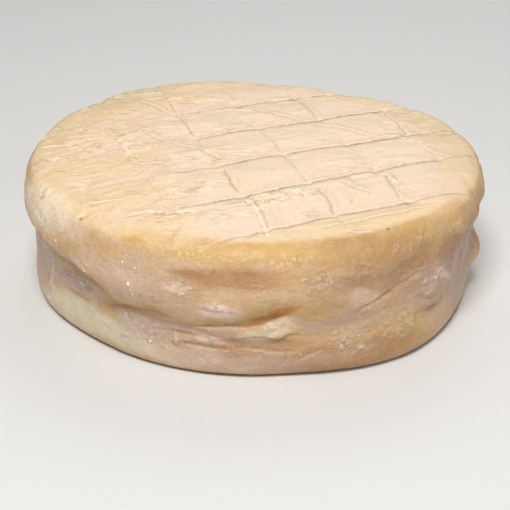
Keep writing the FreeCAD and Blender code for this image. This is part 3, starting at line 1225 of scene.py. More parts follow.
@dataclass(frozen=True)
class TopWrinkles:
    """Fine wrinkles of the top, most of them along the main wires and to the left.

    Args:
        turn: how far they turn away from the main wires.
        fields: the wrinkles, from coarse to fine.
        bend: how they bend.
        broad: where they gather.
        left_from: where they begin to gather towards the left.
        left_width: width over which they gather.
        gathering: least share of wrinkles, and what the gathering and the left add.
        smooth_share: share of the wrinkles left where the top is smooth.
        patch_seed: step to the pattern of where one field shows.
        patch: length and width of the patches in which a field shows.
        patch_edge: how sharply those patches end.
        step_edge: how sharply a wrinkle steps up.
        step: height of the step as a share of the wrinkle.
        crease: depth of the crease at its foot as a share of the wrinkle.
        crease_reach: width of that crease.
    """

    turn: float = -4.0
    fields: tuple[Wrinkles, ...] = (
        Wrinkles(62, 9.0, 3.4, 0.3),
        Wrinkles(63, 6.0, 2.4, 0.24),
        Wrinkles(64, 4.0, 1.8, 0.16),
    )
    bend: Ripple = Ripple(61, (8.0, 7.0), 2.4)
    broad: Ripple = Ripple(65, (14.0, 7.0))
    left_from: float = 10.0
    left_width: float = 40.0
    gathering: tuple[float, float, float] = (0.35, 0.8, 0.5)
    smooth_share: float = 0.15
    patch_seed: int = 20
    patch: tuple[float, float] = (6.0, 2.6)
    patch_edge: float = 1.5
    step_edge: float = 2.2
    step: float = 0.9
    crease: float = 1.2
    crease_reach: float = 0.2

    def push(self, x: Array, y: Array, masks: dict[Layer, Array]) -> Array:
        """How far the wrinkles push the rind.

        Args:
            x: places to the right.
            y: places to the back.
            masks: the rind's masks, which it adds to.

        Returns:
            Push at the places.
        """
        spots = np.stack(turned(x, y, MAIN_WIRES.azimuth + self.turn), axis=1)
        least, broad_share, left_share = self.gathering
        left = ease((self.left_from - x) / self.left_width)
        wrinkled = ease(least + broad_share * self.broad.over(spots) + left_share * left)
        masks[Layer.WRINKLED] = wrinkled
        bent = spots + np.array([0.0, 1.0]) * self.bend.over(spots)[:, None]
        total = np.zeros(len(x))
        for wrinkles in self.fields:
            wave = wrinkles.wave(bent)
            shown = Unevenness(wrinkles.seed + self.patch_seed).at(bent / np.array(self.patch))
            step = self.step * ease(0.5 + self.step_edge * wave)
            crease = self.crease * notch(wave, self.crease_reach)
            total += wrinkles.height * ease(self.patch_edge * shown) * (step - crease)
        return total * (self.smooth_share + (1.0 - self.smooth_share) * wrinkled)


@dataclass(frozen=True)
class TornSkin:
    """The torn, flaky strip of skin beside the second main wire, and the crumpled spots.

    Args:
        beside: middle of the strip, to the left of the wire.
        reach: half width of the strip.
        start: where it starts along the wire.
        end: where it ends.
        fade: length over which it fades in at both ends.
        flake: length and width of a flake.
        bend: how the flakes' outlines bend.
        flakes: the flakes themselves.
        edge: how wide the flakes are, and how sharply they end.
        ragged: how ragged the strip's outline is.
        shown: strength of the mask, and how fast it fades in.
        smooth_share: strength between the flakes.
        height: height of a flake.
        sunk: how deep the torn skin lies.
    """

    beside: float = -3.2
    reach: float = 3.0
    start: float = -18.0
    end: float = 5.0
    fade: float = 4.0
    flake: tuple[float, float] = (1.9, 1.4)
    bend: tuple[int, float, float] = (72, 0.6, 0.6)
    flakes: Ripple = Ripple(71, 1.0)
    edge: tuple[float, float] = (1.6, 5.0)
    ragged: Ripple = Ripple(73, 1.0 / 0.7, 0.35)
    shown: tuple[float, float] = (1.8, 4.0)
    smooth_share: float = 0.6
    height: float = 0.45
    sunk: float = 0.25

    def push(self, x: Array, y: Array, masks: dict[Layer, Array]) -> Array:
        """How far the torn skin is pushed.

        Args:
            x: places to the right.
            y: places to the back.
            masks: the rind's masks, which it adds to.

        Returns:
            Push at the places.
        """
        along, beside = MAIN_WIRES.wires()[1].along_and_beside(x, y)
        length = rise(along, self.start, self.fade) * ease((self.end - along) / self.fade)
        inside = bell(beside - self.beside, self.reach) * length
        for crumple in CRUMPLES:
            inside = np.maximum(inside, crumple.mask(x, y))
        spots = np.stack([along, beside], axis=1) / np.array(self.flake)
        seed, sway, share = self.bend
        bent = spots + sway * Unevenness(seed).at(spots * share)[:, None]
        wide, sharpness = self.edge
        torn = ease(wide - sharpness * np.abs(self.flakes.over(bent)))
        outline = inside + self.ragged.over(spots)
        strength, fading = self.shown
        flaky = self.smooth_share + (1.0 - self.smooth_share) * torn
        masks[Layer.TORN] = ease(strength * outline) * ease(fading * inside) * flaky
        return inside * (self.height * torn - self.sunk)


@dataclass(frozen=True)
class SideRelief:
    """Relief of the side: folds, swellings, small creases, flakes and upright drapes.

    Args:
        azimuth: azimuths of the places.
        corners: the places on the rind.
        masks: the rind's masks, which it adds to.
        bend: how the folds bend up and down.
        swell: wide swellings.
        lumps: small lumps.
        flat_bend: how the small creases bend.
        patchy: where the small creases gather.
        patchy_range: least share of them, and how much it changes.
        fields: the small creases.
        wave_share: how much the skin between them swells.
        crease_reach: width of a small crease.
        flakes: the flakes.
        flake_share: how many flakes there are where the small creases gather.
        flake_edge: sharpness of the flakes' edges, and how many there are.
        flake_height: height of a flake.
        drape_place: azimuth and height of the drapes' middle.
        drape_size: half their spread in azimuth, and in height.
        drape_edge: how far they reach in azimuth, in half spreads.
        drape_seed: picks their pattern.
        drape_bend: how they bend.
        drape_grain: width and length of one drape.
        drape_depth: depth of the drapes.
        drape_reach: width of the crease between two drapes.
        drape_shade: how dark the painted shade in that crease is.
        fold_shown: how strongly a fold shows for each unit of depth.
    """

    azimuth: Array
    corners: Array
    masks: dict[Layer, Array]
    bend: Ripple = Ripple(81, 5.0, 0.9, 3)
    swell: Ripple = Ripple(82, (9.0, 9.0, 6.0), 0.3)
    lumps: Ripple = Ripple(83, (3.6, 3.6, 2.2), 0.12, 3)
    flat_bend: Ripple = Ripple(87, 4.0, 1.2)
    patchy: Ripple = Ripple(85, (9.0, 5.0))
    patchy_range: tuple[float, float] = (0.1, 1.3)
    fields: tuple[Wrinkles, ...] = (Wrinkles(84, 6.0, 2.2, 0.16), Wrinkles(88, 3.0, 1.6, 0.12))
    wave_share: float = 0.5
    crease_reach: float = 0.2
    flakes: Ripple = Ripple(97, (1.9, 1.3))
    flake_share: float = 0.22
    flake_edge: tuple[float, float] = (3.0, 0.4)
    flake_height: float = 0.22
    drape_place: tuple[float, float] = (-18.0, 16.0)
    drape_size: tuple[float, float] = (24.0, 9.0)
    drape_edge: float = 1.3
    drape_seed: int = 86
    drape_bend: Ripple = Ripple(89, 6.0, 0.8)
    drape_grain: tuple[float, float] = (2.2, 16.0)
    drape_depth: float = 0.3
    drape_reach: float = 0.15
    drape_shade: float = 0.5
    fold_shown: float = 3.0

    def total(self) -> tuple[Array, Array, NearestCrease]:
        """The whole relief of the side.

        Returns:
            Push of the rind, painted shade that is darkest deep in a fold and between drapes, and the nearest
            fold.
        """
        height = self.corners[:, 2]
        push = np.zeros(len(height))
        # painted shade, darkest deep in a fold and between drapes
        shade = np.zeros(len(height))
        bent = height + self.bend.over(self.corners)
        folds = NearestCrease(len(height))
        for fold in SIDE_FOLDS:
            over, shown = fold.path.over(self.azimuth, bent)
            push += fold.push(over, shown)
            shade = np.maximum(shade, fold.depth * shown * notch(over, fold.reach))
            folds.add(over * np.sign(fold.lip), np.minimum(self.fold_shown * fold.depth, 1.0) * shown)
        push += self.swell.over(self.corners) + self.lumps.over(self.corners)
        flat = np.stack([np.radians(self.azimuth) * WHEEL_RADIUS, height], axis=1)
        push += self.small_creases(flat)
        drape, between = self.drapes(flat)
        push += drape
        return push, np.maximum(shade, between), folds

    def small_creases(self, flat: Array) -> Array:
        """Creases the side and lays flakes on it.

        Args:
            flat: the places, laid out flat.

        Returns:
            Push at the places.
        """
        bent = flat + self.flat_bend.over(flat)[:, None]
        least, change = self.patchy_range
        patchy = ease(least + change * self.patchy.over(flat))
        push = np.zeros(len(flat))
        for wrinkles in self.fields:
            wave = wrinkles.wave(bent)
            push += wrinkles.height * patchy * (self.wave_share * wave - notch(wave, self.crease_reach))
        flaky = np.clip(self.masks[Layer.FROST] + self.flake_share * patchy, 0.0, 1.0)
        sharpness, many = self.flake_edge
        raised = ease(sharpness * self.flakes.over(bent) + many)
        self.masks[Layer.FLAKE] = flaky * raised
        return push + self.flake_height * flaky * (raised - 0.5)

    def drapes(self, flat: Array) -> tuple[Array, Array]:
        """Hangs the upright drapes.

        Args:
            flat: the places, laid out flat.

        Returns:
            Push at the places, and how dark the painted shade in the creases between drapes is.
        """
        middle, level = self.drape_place
        spread, tall = self.drape_size
        shown = ease(self.drape_edge - np.abs(apart(self.azimuth, middle)) / spread)
        shown = shown * bell(flat[:, 1] - level, tall)
        bent = flat + self.drape_bend.over(flat)[:, None]
        wave = Unevenness(self.drape_seed).at(bent / np.array(self.drape_grain))
        crease = notch(wave, self.drape_reach)
        return shown * self.drape_depth * (wave - crease), self.drape_shade * shown * crease


@dataclass(frozen=True)
class TopTints:
    """Where the top and its edge take their tints.

    Args:
        warm_left: where the warm tint starts towards the left, its width and its strength.
        warm_rim: where it starts towards the rim and its width, in radii, and its strength.
        warm_front: distance before the nearest main wire over which it grows, and its strength.
        warm_spot: place of a warm spot at the front left.
        warm_spot_reach: how far that spot spreads.
        warmest: greatest strength.
        back: azimuth and half spread of the tinted edge at the back.
        right: the same at the right.
        near: the same at the front, where it is narrower.
        near_share: strength of the front's.
        rim: where the edge's tint starts, and its width.
        near_rim: where the front edge's starts, and its width.
    """

    warm_left: tuple[float, float, float] = (-6.0, 26.0, 0.9)
    warm_rim: tuple[float, float, float] = (0.55, 0.4, 0.7)
    warm_front: tuple[float, float] = (3.0, 1.2)
    warm_spot: tuple[float, float] = (-30.0, -28.0)
    warm_spot_reach: float = 14.0
    warmest: float = 1.6
    back: tuple[float, float] = (138.0, 50.0)
    right: tuple[float, float] = (14.0, 36.0)
    near: tuple[float, float] = (-72.0, 26.0)
    near_share: float = 0.6
    rim: tuple[float, float] = (36.0, 10.0)
    near_rim: tuple[float, float] = (37.0, 5.0)

    def warm(self, x: Array, y: Array) -> Array:
        """Strength of the warm tint at places on the top.

        Args:
            x: places to the right.
            y: places to the back.

        Returns:
            Strength at the places.
        """
        start, width, share = self.warm_left
        left = share * ease((start - x) / width)
        start, width, rim_share = self.warm_rim
        rim = rise(np.hypot(x, y), start * WHEEL_RADIUS, width * WHEEL_RADIUS)
        before = -MAIN_WIRES.wires()[0].along_and_beside(x, y)[1]
        width, front_share = self.warm_front
        spot = bell(np.hypot(x - self.warm_spot[0], y - self.warm_spot[1]), self.warm_spot_reach)
        front = np.maximum(ease(before / width), spot)
        return np.clip(left + rim_share * rim + front_share * front, 0.0, self.warmest)

    def edge(self, azimuth: Array, far: Array) -> Array:
        """Strength of the edge's tint.

        Args:
            azimuth: azimuths of the places.
            far: how far they lie from the middle of the rack's pattern.

        Returns:
            Strength at the places.
        """
        hidden = (bell(apart(azimuth, middle), reach) for middle, reach in (self.back, self.right))
        near = bell(apart(azimuth, self.near[0]), self.near[1]) * rise(far, *self.near_rim)
        return np.maximum(rise(far, *self.rim) * np.maximum(*hidden), self.near_share * near)


@dataclass(frozen=True)
class WheelSkin:
    """The rind of the whole wheel: its fine mesh, its relief and its masks.

    Args:
        net: the wheel's surface without relief.
        facing: how far up a place faces where the top starts, and over what range.
        top_from: height over which the top starts, as a share of the wheel's.
        top_width: height over which it takes over from the side.
        foot_from: height over which the relief starts.
        foot_width: height over which it grows to its full depth.
        patch_bend: how the patches' outlines bend up and down.
        rim_bend: how the outline of the top's tints bends.
        patch_facing: how far up a place faces where the patches end, and over what range.
        patch_from: where the patches start, and over what width.
        side_fold_share: how strongly the side's folds show in the colour.
        steepest: greatest slope of the relief.
    """

    net: WheelNet
    facing: tuple[float, float] = (0.6, 0.36)
    top_from: float = 0.7
    top_width: float = 3.0
    foot_from: float = 0.4
    foot_width: float = 2.0
    patch_bend: Ripple = Ripple(92, 5.0, 1.1, 3)
    rim_bend: Ripple = Ripple(93, 6.0, 1.4)
    patch_facing: tuple[float, float] = (0.91, 0.09)
    patch_from: tuple[float, float] = (38.0, 5.0)
    side_fold_share: float = 0.6
    steepest: float = 1.7

    def relief(self, corners: Array, outward: Array) -> tuple[Array, dict[Layer, Array]]:
        """The rind's relief and where it takes each tint.

        Args:
            corners: places on the rind.
            outward: outward direction at each place.

        Returns:
            How far every corner is pushed outwards, and the masks.
        """
        x, y, height = corners.T
        azimuth = np.degrees(np.arctan2(y, x))
        top = rise(outward[:, 2], *self.facing) * rise(height, self.top_from * WHEEL_HEIGHT, self.top_width)
        far = np.hypot(x - SET_OVER[0], y - SET_OVER[1]) + self.rim_bend.over(corners)
        warped = height + self.patch_bend.over(corners)
        on_edge = (1.0 - rise(outward[:, 2], *self.patch_facing)) * rise(far, *self.patch_from)
        masks: dict[Layer, Array] = {}
        for tint, patches in PATCHES.items():
            total = np.sum([patch.mask(azimuth, warped) for patch in patches], axis=0)
            masks[tint] = np.clip(total, 0.0, 1.0) * on_edge
        on_top, marks, top_folds = TopRelief(x, y, masks).total()
        on_side, side_shade, side_folds = SideRelief(azimuth, corners, masks).total()
        on_flat = top > 0.5
        shown = np.where(on_flat, top_folds.share(), self.side_fold_share * side_folds.share())
        masks[Layer.TOP] = top
        masks[Layer.WARM] = TopTints().warm(x, y)
        masks[Layer.RIM] = TopTints().edge(azimuth, far)
        # painted shade in the side's folds and between its drapes
        masks[Layer.CREASE_SHADE] = np.clip((1.0 - top) * side_shade, 0.0, 1.0)
        masks[Layer.MARK] = marks.share() * top
        masks[Layer.MARK_SIDE] = marks.beside
        masks[Layer.FOLD] = shown * np.abs(2.0 * top - 1.0)
        masks[Layer.FOLD_SIDE] = np.where(on_flat, top_folds.beside, side_folds.beside)
        push = (top * on_top + (1.0 - top) * on_side) * rise(height, self.foot_from, self.foot_width)
        return push, masks

    def build(self) -> bpy.types.Object:
        """Makes the wheel and gives it its masks.

        Returns:
            The new piece, not yet dressed.
        """
        corners, faces = self.net.parts()
        outward = outward_directions(corners, faces)
        push, masks = self.relief(corners, outward)
        pushed = corners + outward * calmed(push, corners, faces, self.steepest)[:, None]
        pushed[:, 2] = np.maximum(pushed[:, 2], 0.0)
        piece = new_piece("wheel_rind", pushed * MM, faces)
        for tint, mask in masks.items():
            attribute = piece.data.attributes.new(tint.value, "FLOAT", "POINT")
            attribute.data.foreach_set("value", mask.astype(np.float32))
        return piece


def new_piece(name: str, corners: Array, faces: Faces) -> bpy.types.Object:
    """Makes a smooth-shaded piece.

    Args:
        name: its name.
        corners: places of its corners, in metres.
        faces: the corners of each face.

    Returns:
        The new piece.
    """
    mesh = bpy.data.meshes.new(name)
    mesh.from_pydata(np.asarray(corners).tolist(), [], faces)
    mesh.shade_smooth()
    piece = bpy.data.objects.new(name, mesh)
    bpy.context.scene.collection.objects.link(piece)
    return piece


class Value:
    """A socket of a material that can be used in sums.

    Args:
        graph: the material's nodes.
        socket: the socket that gives the value.
    """

    def __init__(self, graph: "Graph", socket: bpy.types.NodeSocket) -> None:
        """Keeps the socket and its nodes."""
        self.graph = graph
        self.socket = socket

    def combine(self, operation: str, *others: "Value | float", swapped: bool = False) -> "Value":
        """The result of a Math node.

        Args:
            operation: what the node does.
            others: the other terms.
            swapped: whether this value comes last.

        Returns:
            The result.
        """
        terms = [self, *others]
        if swapped:
            terms.reverse()
        return self.graph.node("ShaderNodeMath", {"operation": operation}, dict(enumerate(terms)))

    def __add__(self, other: "Value | float") -> "Value":
        """Sum."""
        return self.combine("ADD", other)

    __radd__ = __add__

    def __sub__(self, other: "Value | float") -> "Value":
        """Difference."""
        return self.combine("SUBTRACT", other)

    def __rsub__(self, other: float) -> "Value":
        """Difference from a number."""
        return self.combine("SUBTRACT", other, swapped=True)

    def __mul__(self, other: "Value | float") -> "Value":
        """Product."""
        return self.combine("MULTIPLY", other)

    __rmul__ = __mul__

    def held(self) -> "Value":
        """The value held between 0 and 1."""
        return self.graph.node("ShaderNodeClamp", {}, {"Value": self})

    def over(self, low: float, gain: float) -> "Value":
        """0 up to a low value, rising from there as steeply as the gain says, held at 1."""
        return ((self - low) * gain).held()


@dataclass(frozen=True)
class Stroke:
    """A soft line where a noise or a distance has one value.

    Args:
        middle: that value.
        reach: how far from it the line fades out.
        strength: how strong it is in its middle.
    """

    middle: float
    reach: float
    strength: float = 1.0

    def on(self, value: Value) -> Value:
        """Strength of the line where a value lies near its middle."""
        away = (value - self.middle) * (1.0 / self.reach)
        return (away * away * -3.0).combine("EXPONENT") * self.strength


@dataclass(frozen=True)
class GrainKind:
    """Size and kind of one noise.

    Args:
        size: size of a grain in millimetres.
        layers: how many ever finer layers it has.
        rough: how strong the finer layers are.
        stretch: how its axes are stretched, if they are.
        turn: how far it is turned about the upright.
    """

    size: float
    layers: float = 3.0
    rough: float = 0.55
    stretch: tuple[float, float, float] | None = None
    turn: float = 0.0


class Grain(Enum):
    """Noises of the rind, from broad clouds to fine pits."""

    BROAD = GrainKind(14.0)
    CLOUDS = GrainKind(7.0, 4.0, 0.6, (1.0, 1.0, 1.6))
    GATHERED = GrainKind(5.0)
    MOTTLE = GrainKind(3.4, 4.0, 0.6)
    SLANT = GrainKind(2.4, 2.0, 0.5, (0.3, 1.0, 1.0), 22.0)
    CRUMPLED = GrainKind(2.2, 3.0, 0.55, (0.5, 1.0, 1.0), 12.0)
    WRINKLE = GrainKind(2.0, 2.0, 0.5, (0.22, 1.0, 1.0), -MAIN_WIRES.azimuth)
    FLAKY = GrainKind(1.5, 5.0, 0.68, (1.0, 1.0, 1.25))
    FINE = GrainKind(0.8, 3.0, 0.6)


class Graph:
    """The nodes of one material.

    Args:
        name: the material's name.
    """

    def __init__(self, name: str) -> None:
        """Makes the material with its surface shader."""
        self.material = bpy.data.materials.new(name)
        self.material.use_nodes = True
        self.tree = self.material.node_tree
        self.shader = self.tree.nodes["Principled BSDF"]

    def put(self, socket: bpy.types.NodeSocket, value: Any) -> None:
        """Sets a socket to a number or colour, or links a value to it.

        Args:
            socket: the socket.
            value: what it gets.
        """
        if isinstance(value, Value):
            self.tree.links.new(value.socket, socket)
        else:
            socket.default_value = value

    def node(self, kind: str, settings: dict[str, Any], inputs: dict[Any, Any], output: Any = 0) -> Value:
        """Adds one node.

        Args:
            kind: the node's type.
            settings: its settings, set first.
            inputs: values or links of its sockets, by name or number.
            output: name or number of the socket that is read.

        Returns:
            The chosen output.
        """
        made = self.tree.nodes.new(kind)
        for name, setting in settings.items():
            setattr(made, name, setting)
        for name, value in inputs.items():
            self.put(made.inputs[name], value)
        return Value(self, made.outputs[output])

    def mask(self, tint: Layer) -> Value:
        """The wheel's own mask of a tint."""
        return self.node("ShaderNodeAttribute", {"attribute_name": tint.value}, {}, "Fac")

    def place(self) -> Value:
        """Place on the object, in metres."""
        return self.node("ShaderNodeTexCoord", {}, {}, "Object")

    def grain(self, place: Value, kind: GrainKind) -> Value:
        """Soft noise about 0.5.

        Args:
            place: place on the object.
            kind: its size and kind.

        Returns:
            The noise.
        """
        if kind.stretch:
            turn = (0.0, 0.0, math.radians(kind.turn))
            inputs = {"Vector": place, "Rotation": turn, "Scale": kind.stretch}
            place = self.node("ShaderNodeMapping", {}, inputs)
        scale = 1.0 / (kind.size * MM)
        inputs = {"Vector": place, "Scale": scale, "Detail": kind.layers, "Roughness": kind.rough}
        return self.node("ShaderNodeTexNoise", {}, inputs, "Fac")

    def near(self, place: Value, spot: Vector, reach: float) -> Value:
        """1 at a spot, falling to 0 at a reach in millimetres."""
        away = self.node("ShaderNodeVectorMath", {"operation": "DISTANCE"}, {0: place, 1: spot}, "Value")
        return (1.0 - away * (1.0 / (reach * MM))).held()

    def blend(self, share: Any, first: Any, second: Any) -> Value:
        """A colour a share of the way from the first to the second."""
        return self.node("ShaderNodeMix", {"data_type": "RGBA"}, {0: share, 6: first, 7: second}, 2)

    def shade(self, share: Any, colour: Any, other: Any) -> Value:
        """A colour multiplied by another as far as a share says."""
        settings = {"data_type": "RGBA", "blend_type": "MULTIPLY"}
        return self.node("ShaderNodeMix", settings, {0: share, 6: colour, 7: other}, 2)

    def bump(self, height: Value, depth: float) -> Value:
        """A bumped normal from a height of 0 to 1 over a depth in millimetres."""
        return self.node("ShaderNodeBump", {}, {"Distance": depth * MM, "Height": height})

    def finish(self, **inputs: Any) -> bpy.types.Material:
        """Sets the surface shader's sockets.

        Args:
            inputs: values of the sockets, spaces in their names written as underscores.

        Returns:
            The material.
        """
        for name, value in inputs.items():
            self.put(self.shader.inputs[name.replace("_", " ")], value)
        return self.material


@dataclass(frozen=True)
class RindBump:
    """The rind's finest relief: wrinkles, pits, flakes and the edges of its creases.

    Args:
        depth: depth of the whole, in millimetres.
        wrinkle_low: the fine wrinkles' creases.
        wrinkle_high: the skin raised beside them.
        fold_low: crease of a fold.
        fold_high: the skin raised beside it.
        mark_low: crease of a wire's mark.
        mark_high: the skin raised behind it.
        flake_edge: level and steepness of the flakes' edges.
        flaked: strength of the flakes where they lie thick.
        side_flaked: their strength on the rest of the side.
        torn_edge: level and steepness of the torn skin.
        torn: strength of the torn skin.
        side_rough: roughness of the side.
        pits: depth of the finest pits.
    """

    depth: float = 0.26
    wrinkle_low: Stroke = Stroke(0.5, 0.07, 0.4)
    wrinkle_high: Stroke = Stroke(0.58, 0.07, 0.24)
    fold_low: Stroke = Stroke(0.0, 0.4, 0.35)
    fold_high: Stroke = Stroke(0.55, 0.45, 0.5)
    mark_low: Stroke = Stroke(0.0, 0.45, 0.3)
    mark_high: Stroke = Stroke(0.6, 0.5, 0.35)
    flake_edge: tuple[float, float] = (0.46, 8.0)
    flaked: float = 0.88
    side_flaked: float = 0.24
    torn_edge: tuple[float, float] = (0.42, 5.0)
    torn: float = 0.9
    side_rough: float = 0.6
    pits: float = 0.4

    def normal(self, graph: Graph, grains: dict[Grain, Value]) -> Value:
        """The bumped normal.

        Args:
            graph: the rind's nodes.
            grains: the rind's noises.

        Returns:
            The normal.
        """
        top = graph.mask(Layer.TOP)
        side = 1.0 - top
        fold_side, mark_side = graph.mask(Layer.FOLD_SIDE), graph.mask(Layer.MARK_SIDE)
        height = grains[Grain.FINE] * self.pits
        wrinkled = top * graph.mask(Layer.WRINKLED) * grains[Grain.GATHERED]
        for wrinkle in (grains[Grain.WRINKLE], grains[Grain.SLANT]):
            height = height - wrinkled * (self.wrinkle_low.on(wrinkle) - self.wrinkle_high.on(wrinkle))
        folded = self.fold_low.on(fold_side) - self.fold_high.on(fold_side)
        marked = self.mark_low.on(mark_side) - self.mark_high.on(mark_side)
        height = height - graph.mask(Layer.FOLD) * folded - graph.mask(Layer.MARK) * marked
        flaked = graph.mask(Layer.FLAKE) * self.flaked + side * self.side_flaked
        height = height + flaked * grains[Grain.FLAKY].over(*self.flake_edge)
        height = height + graph.mask(Layer.TORN) * grains[Grain.CRUMPLED].over(*self.torn_edge) * self.torn
        height = height + side * grains[Grain.FLAKY] * self.side_rough
        return graph.bump(height, self.depth)


@dataclass(frozen=True)
class RindFinish:
    """Colours and sheen of the washed rind, from ivory top to ochre edge, with painted shade in its creases,
    hollows and pocket and painted highlights beside its creases.

    Args:
        top: the top.
        top_warm: the top towards the left and the front.
        top_pink_shade: the pads behind the main wires, pinker and partly painted shade.
        top_rim: the top's edge at the back and the right.
        rim: the rounded edge.
        side: the side.
        side_rose: clouds on the side.
        tints: the tints of the patches, in the order in which they lie over each other; the tan, mauve and
            amber are partly painted shade.
        tint_share: strength of a patch.
        frost: flakes.
        crease: painted shade, brownish, in creases and torn skin.
        line_shade: painted shade at the bottom of a wire's mark, grey-green.
        painted_highlight: painted highlight on skin raised beside creases.
        torn_highlight: painted highlights on raised lines in the torn skin.
        torn_shade: painted shade in its dark lines.
        wrinkle_highlight: painted highlights on raised lines beside the fine wrinkles.
        wrinkle_shade: painted shade in the wrinkles themselves.
        fold_highlight: painted highlight on skin raised beside a fold.
        fold_highlight_share: its strength on the side, and what the top adds.
        fold_shade: painted shade at the bottom of a fold.
        mark_highlight: painted highlight on skin raised behind a wire's mark.
        mark_shade: painted shade at the bottom of the mark.
        flake_edge: level and steepness of the flakes' edges.
        flaked: strength of the flakes where they lie thick.
        side_flaked: their strength on the rest of the side.
        crease_shade_share: strength of the painted shade in the side's creases.
        speck: brown pinholes.
        specks: about where they are, in millimetres.
        speck_reach: how wide they are.
        dust: darkest of the fine speckle.
        dust_share: strength of the speckle.
        bump: the finest relief.
    """

    top: Colour = paint(243, 221, 190)
    top_warm: Colour = paint(243, 213, 168)
    # pinker pads, partly painted shade
    top_pink_shade: Colour = paint(234, 203, 186)
    top_rim: Colour = paint(224, 200, 158)
    rim: Colour = paint(236, 206, 156)
    side: Colour = paint(214, 175, 126)
    side_rose: Colour = paint(216, 184, 152)
    tints: tuple[tuple[Layer, Colour], ...] = (
        (Layer.CREAM, paint(229, 218, 190)),
        (Layer.OCHRE, paint(214, 174, 106)),
        # tan, partly painted shade in valleys, hollows, along the foot and on the right
        (Layer.TAN_AND_SHADE, paint(184, 140, 94)),
        # mauve, partly painted shade under the lip, in the hollow and along the foot
        (Layer.MAUVE_AND_SHADE, paint(193, 168, 158)),
        (Layer.IVORY, paint(252, 233, 203)),
        (Layer.ROSE, paint(246, 215, 194)),
        # amber, darker as painted shade in the pocket
        (Layer.AMBER_AND_SHADE, paint(190, 128, 54)),
    )
    tint_share: float = 0.85
    frost: Colour = paint(242, 226, 208)
    # painted shade in creases, wrinkles and torn skin
    crease: Colour = paint(160, 112, 68)
    # painted shade at the bottom of a wire's mark
    line_shade: Colour = paint(104, 98, 68)
    # painted highlight beside creases
    painted_highlight: Colour = paint(252, 233, 203)
    # painted highlight and shade of the torn skin
    torn_highlight: Stroke = Stroke(0.59, 0.1, 0.9)
    torn_shade: Stroke = Stroke(0.47, 0.05, 0.35)
    # painted highlight and shade of the fine wrinkles
    wrinkle_highlight: Stroke = Stroke(0.58, 0.06, 0.7)
    wrinkle_shade: Stroke = Stroke(0.5, 0.05, 0.16)
    # painted highlight and shade of a fold
    fold_highlight: Stroke = Stroke(0.5, 0.45)
    fold_highlight_share: tuple[float, float] = (0.3, 0.4)
    fold_shade: Stroke = Stroke(0.0, 0.3, 0.3)
    # painted highlight and shade of a wire's mark
    mark_highlight: Stroke = Stroke(0.6, 0.5, 0.7)
    mark_shade: Stroke = Stroke(0.0, 0.36)
    flake_edge: tuple[float, float] = (0.48, 10.0)
    flaked: float = 0.95
    side_flaked: float = 0.25
    crease_shade_share: float = 0.8
    speck: Colour = paint(120, 76, 30)
    specks: tuple[tuple[float, float, float], ...] = (
        (26.2, -37.0, 28.0),
        (-34.4, -31.5, 27.0),
        (-44.0, -20.7, 27.6),
    )
    speck_reach: float = 0.5
    dust: Colour = paint(206, 180, 150)
    dust_share: float = 0.25
    bump: RindBump = RindBump()

    def ground(self, graph: Graph, grains: dict[Grain, Value]) -> Value:
        """The rind's broad colours: top, rounded edge and side, with the pinker pads behind the wires partly
        painted shade.

        Args:
            graph: the rind's nodes.
            grains: the rind's noises.

        Returns:
            The colour.
        """
        mottle = grains[Grain.MOTTLE]
        top = graph.mask(Layer.TOP)
        warm = graph.mask(Layer.WARM) * 0.8 + (grains[Grain.BROAD] - 0.5) * 2.0
        # the pinker pads behind the wires, partly painted shade
        pink = graph.mask(Layer.PINK_SHADE) * (mottle * 1.36 - 0.085)
        flat = graph.blend(warm.held(), self.top, self.top_warm)
        flat = graph.blend(pink.held(), flat, self.top_pink_shade)
        flat = graph.blend((graph.mask(Layer.RIM) * (mottle + 0.4)).held(), flat, self.top_rim)
        side = graph.blend(grains[Grain.CLOUDS].over(0.4, 4.5), self.side, self.side_rose)
        colour = graph.blend((top * 2.0).held(), side, self.rim)
        return graph.blend((top * 1.7 - 0.7).held(), colour, flat)

    def patched(self, graph: Graph, grains: dict[Grain, Value], colour: Value) -> Value:
        """Lays the patches, some of them partly painted shade, the flakes, and the torn skin with its painted
        highlights and shade over a colour.

        Args:
            graph: the rind's nodes.
            grains: the rind's noises.
            colour: the colour under them.

        Returns:
            The colour.
        """
        uneven = (grains[Grain.MOTTLE] * 1.4 + 0.35) * self.tint_share
        for tint, tint_colour in self.tints:
            colour = graph.blend((graph.mask(tint) * uneven).held(), colour, tint_colour)
        side_flakes = (1.0 - graph.mask(Layer.TOP)) * grains[Grain.MOTTLE].over(0.5, 3.0)
        flakes = graph.mask(Layer.FLAKE) * self.flaked + side_flakes * self.side_flaked
        colour = graph.blend((flakes * grains[Grain.FLAKY].over(*self.flake_edge)).held(), colour, self.frost)
        torn, crumpled = graph.mask(Layer.TORN), grains[Grain.CRUMPLED]
        # painted highlights and shade in the torn skin
        colour = graph.blend((torn * self.torn_highlight.on(crumpled)).held(), colour, self.painted_highlight)
        return graph.blend((torn * self.torn_shade.on(crumpled)).held(), colour, self.crease)

    def lined(self, graph: Graph, grains: dict[Grain, Value], colour: Value) -> Value:
        """Paints shade into the creases, wrinkles, folds and rack marks over a colour, and highlights on the
        skin raised beside them.

        Args:
            graph: the rind's nodes.
            grains: the rind's noises.
            colour: the colour under them.

        Returns:
            The colour.
        """
        top = graph.mask(Layer.TOP)
        # painted shade in the side's creases
        colour = graph.blend((graph.mask(Layer.CREASE_SHADE) * self.crease_shade_share).held(), colour, self.crease)
        wrinkled = graph.mask(Layer.WRINKLED) * top * grains[Grain.GATHERED]
        for wrinkle in (grains[Grain.WRINKLE], grains[Grain.SLANT]):
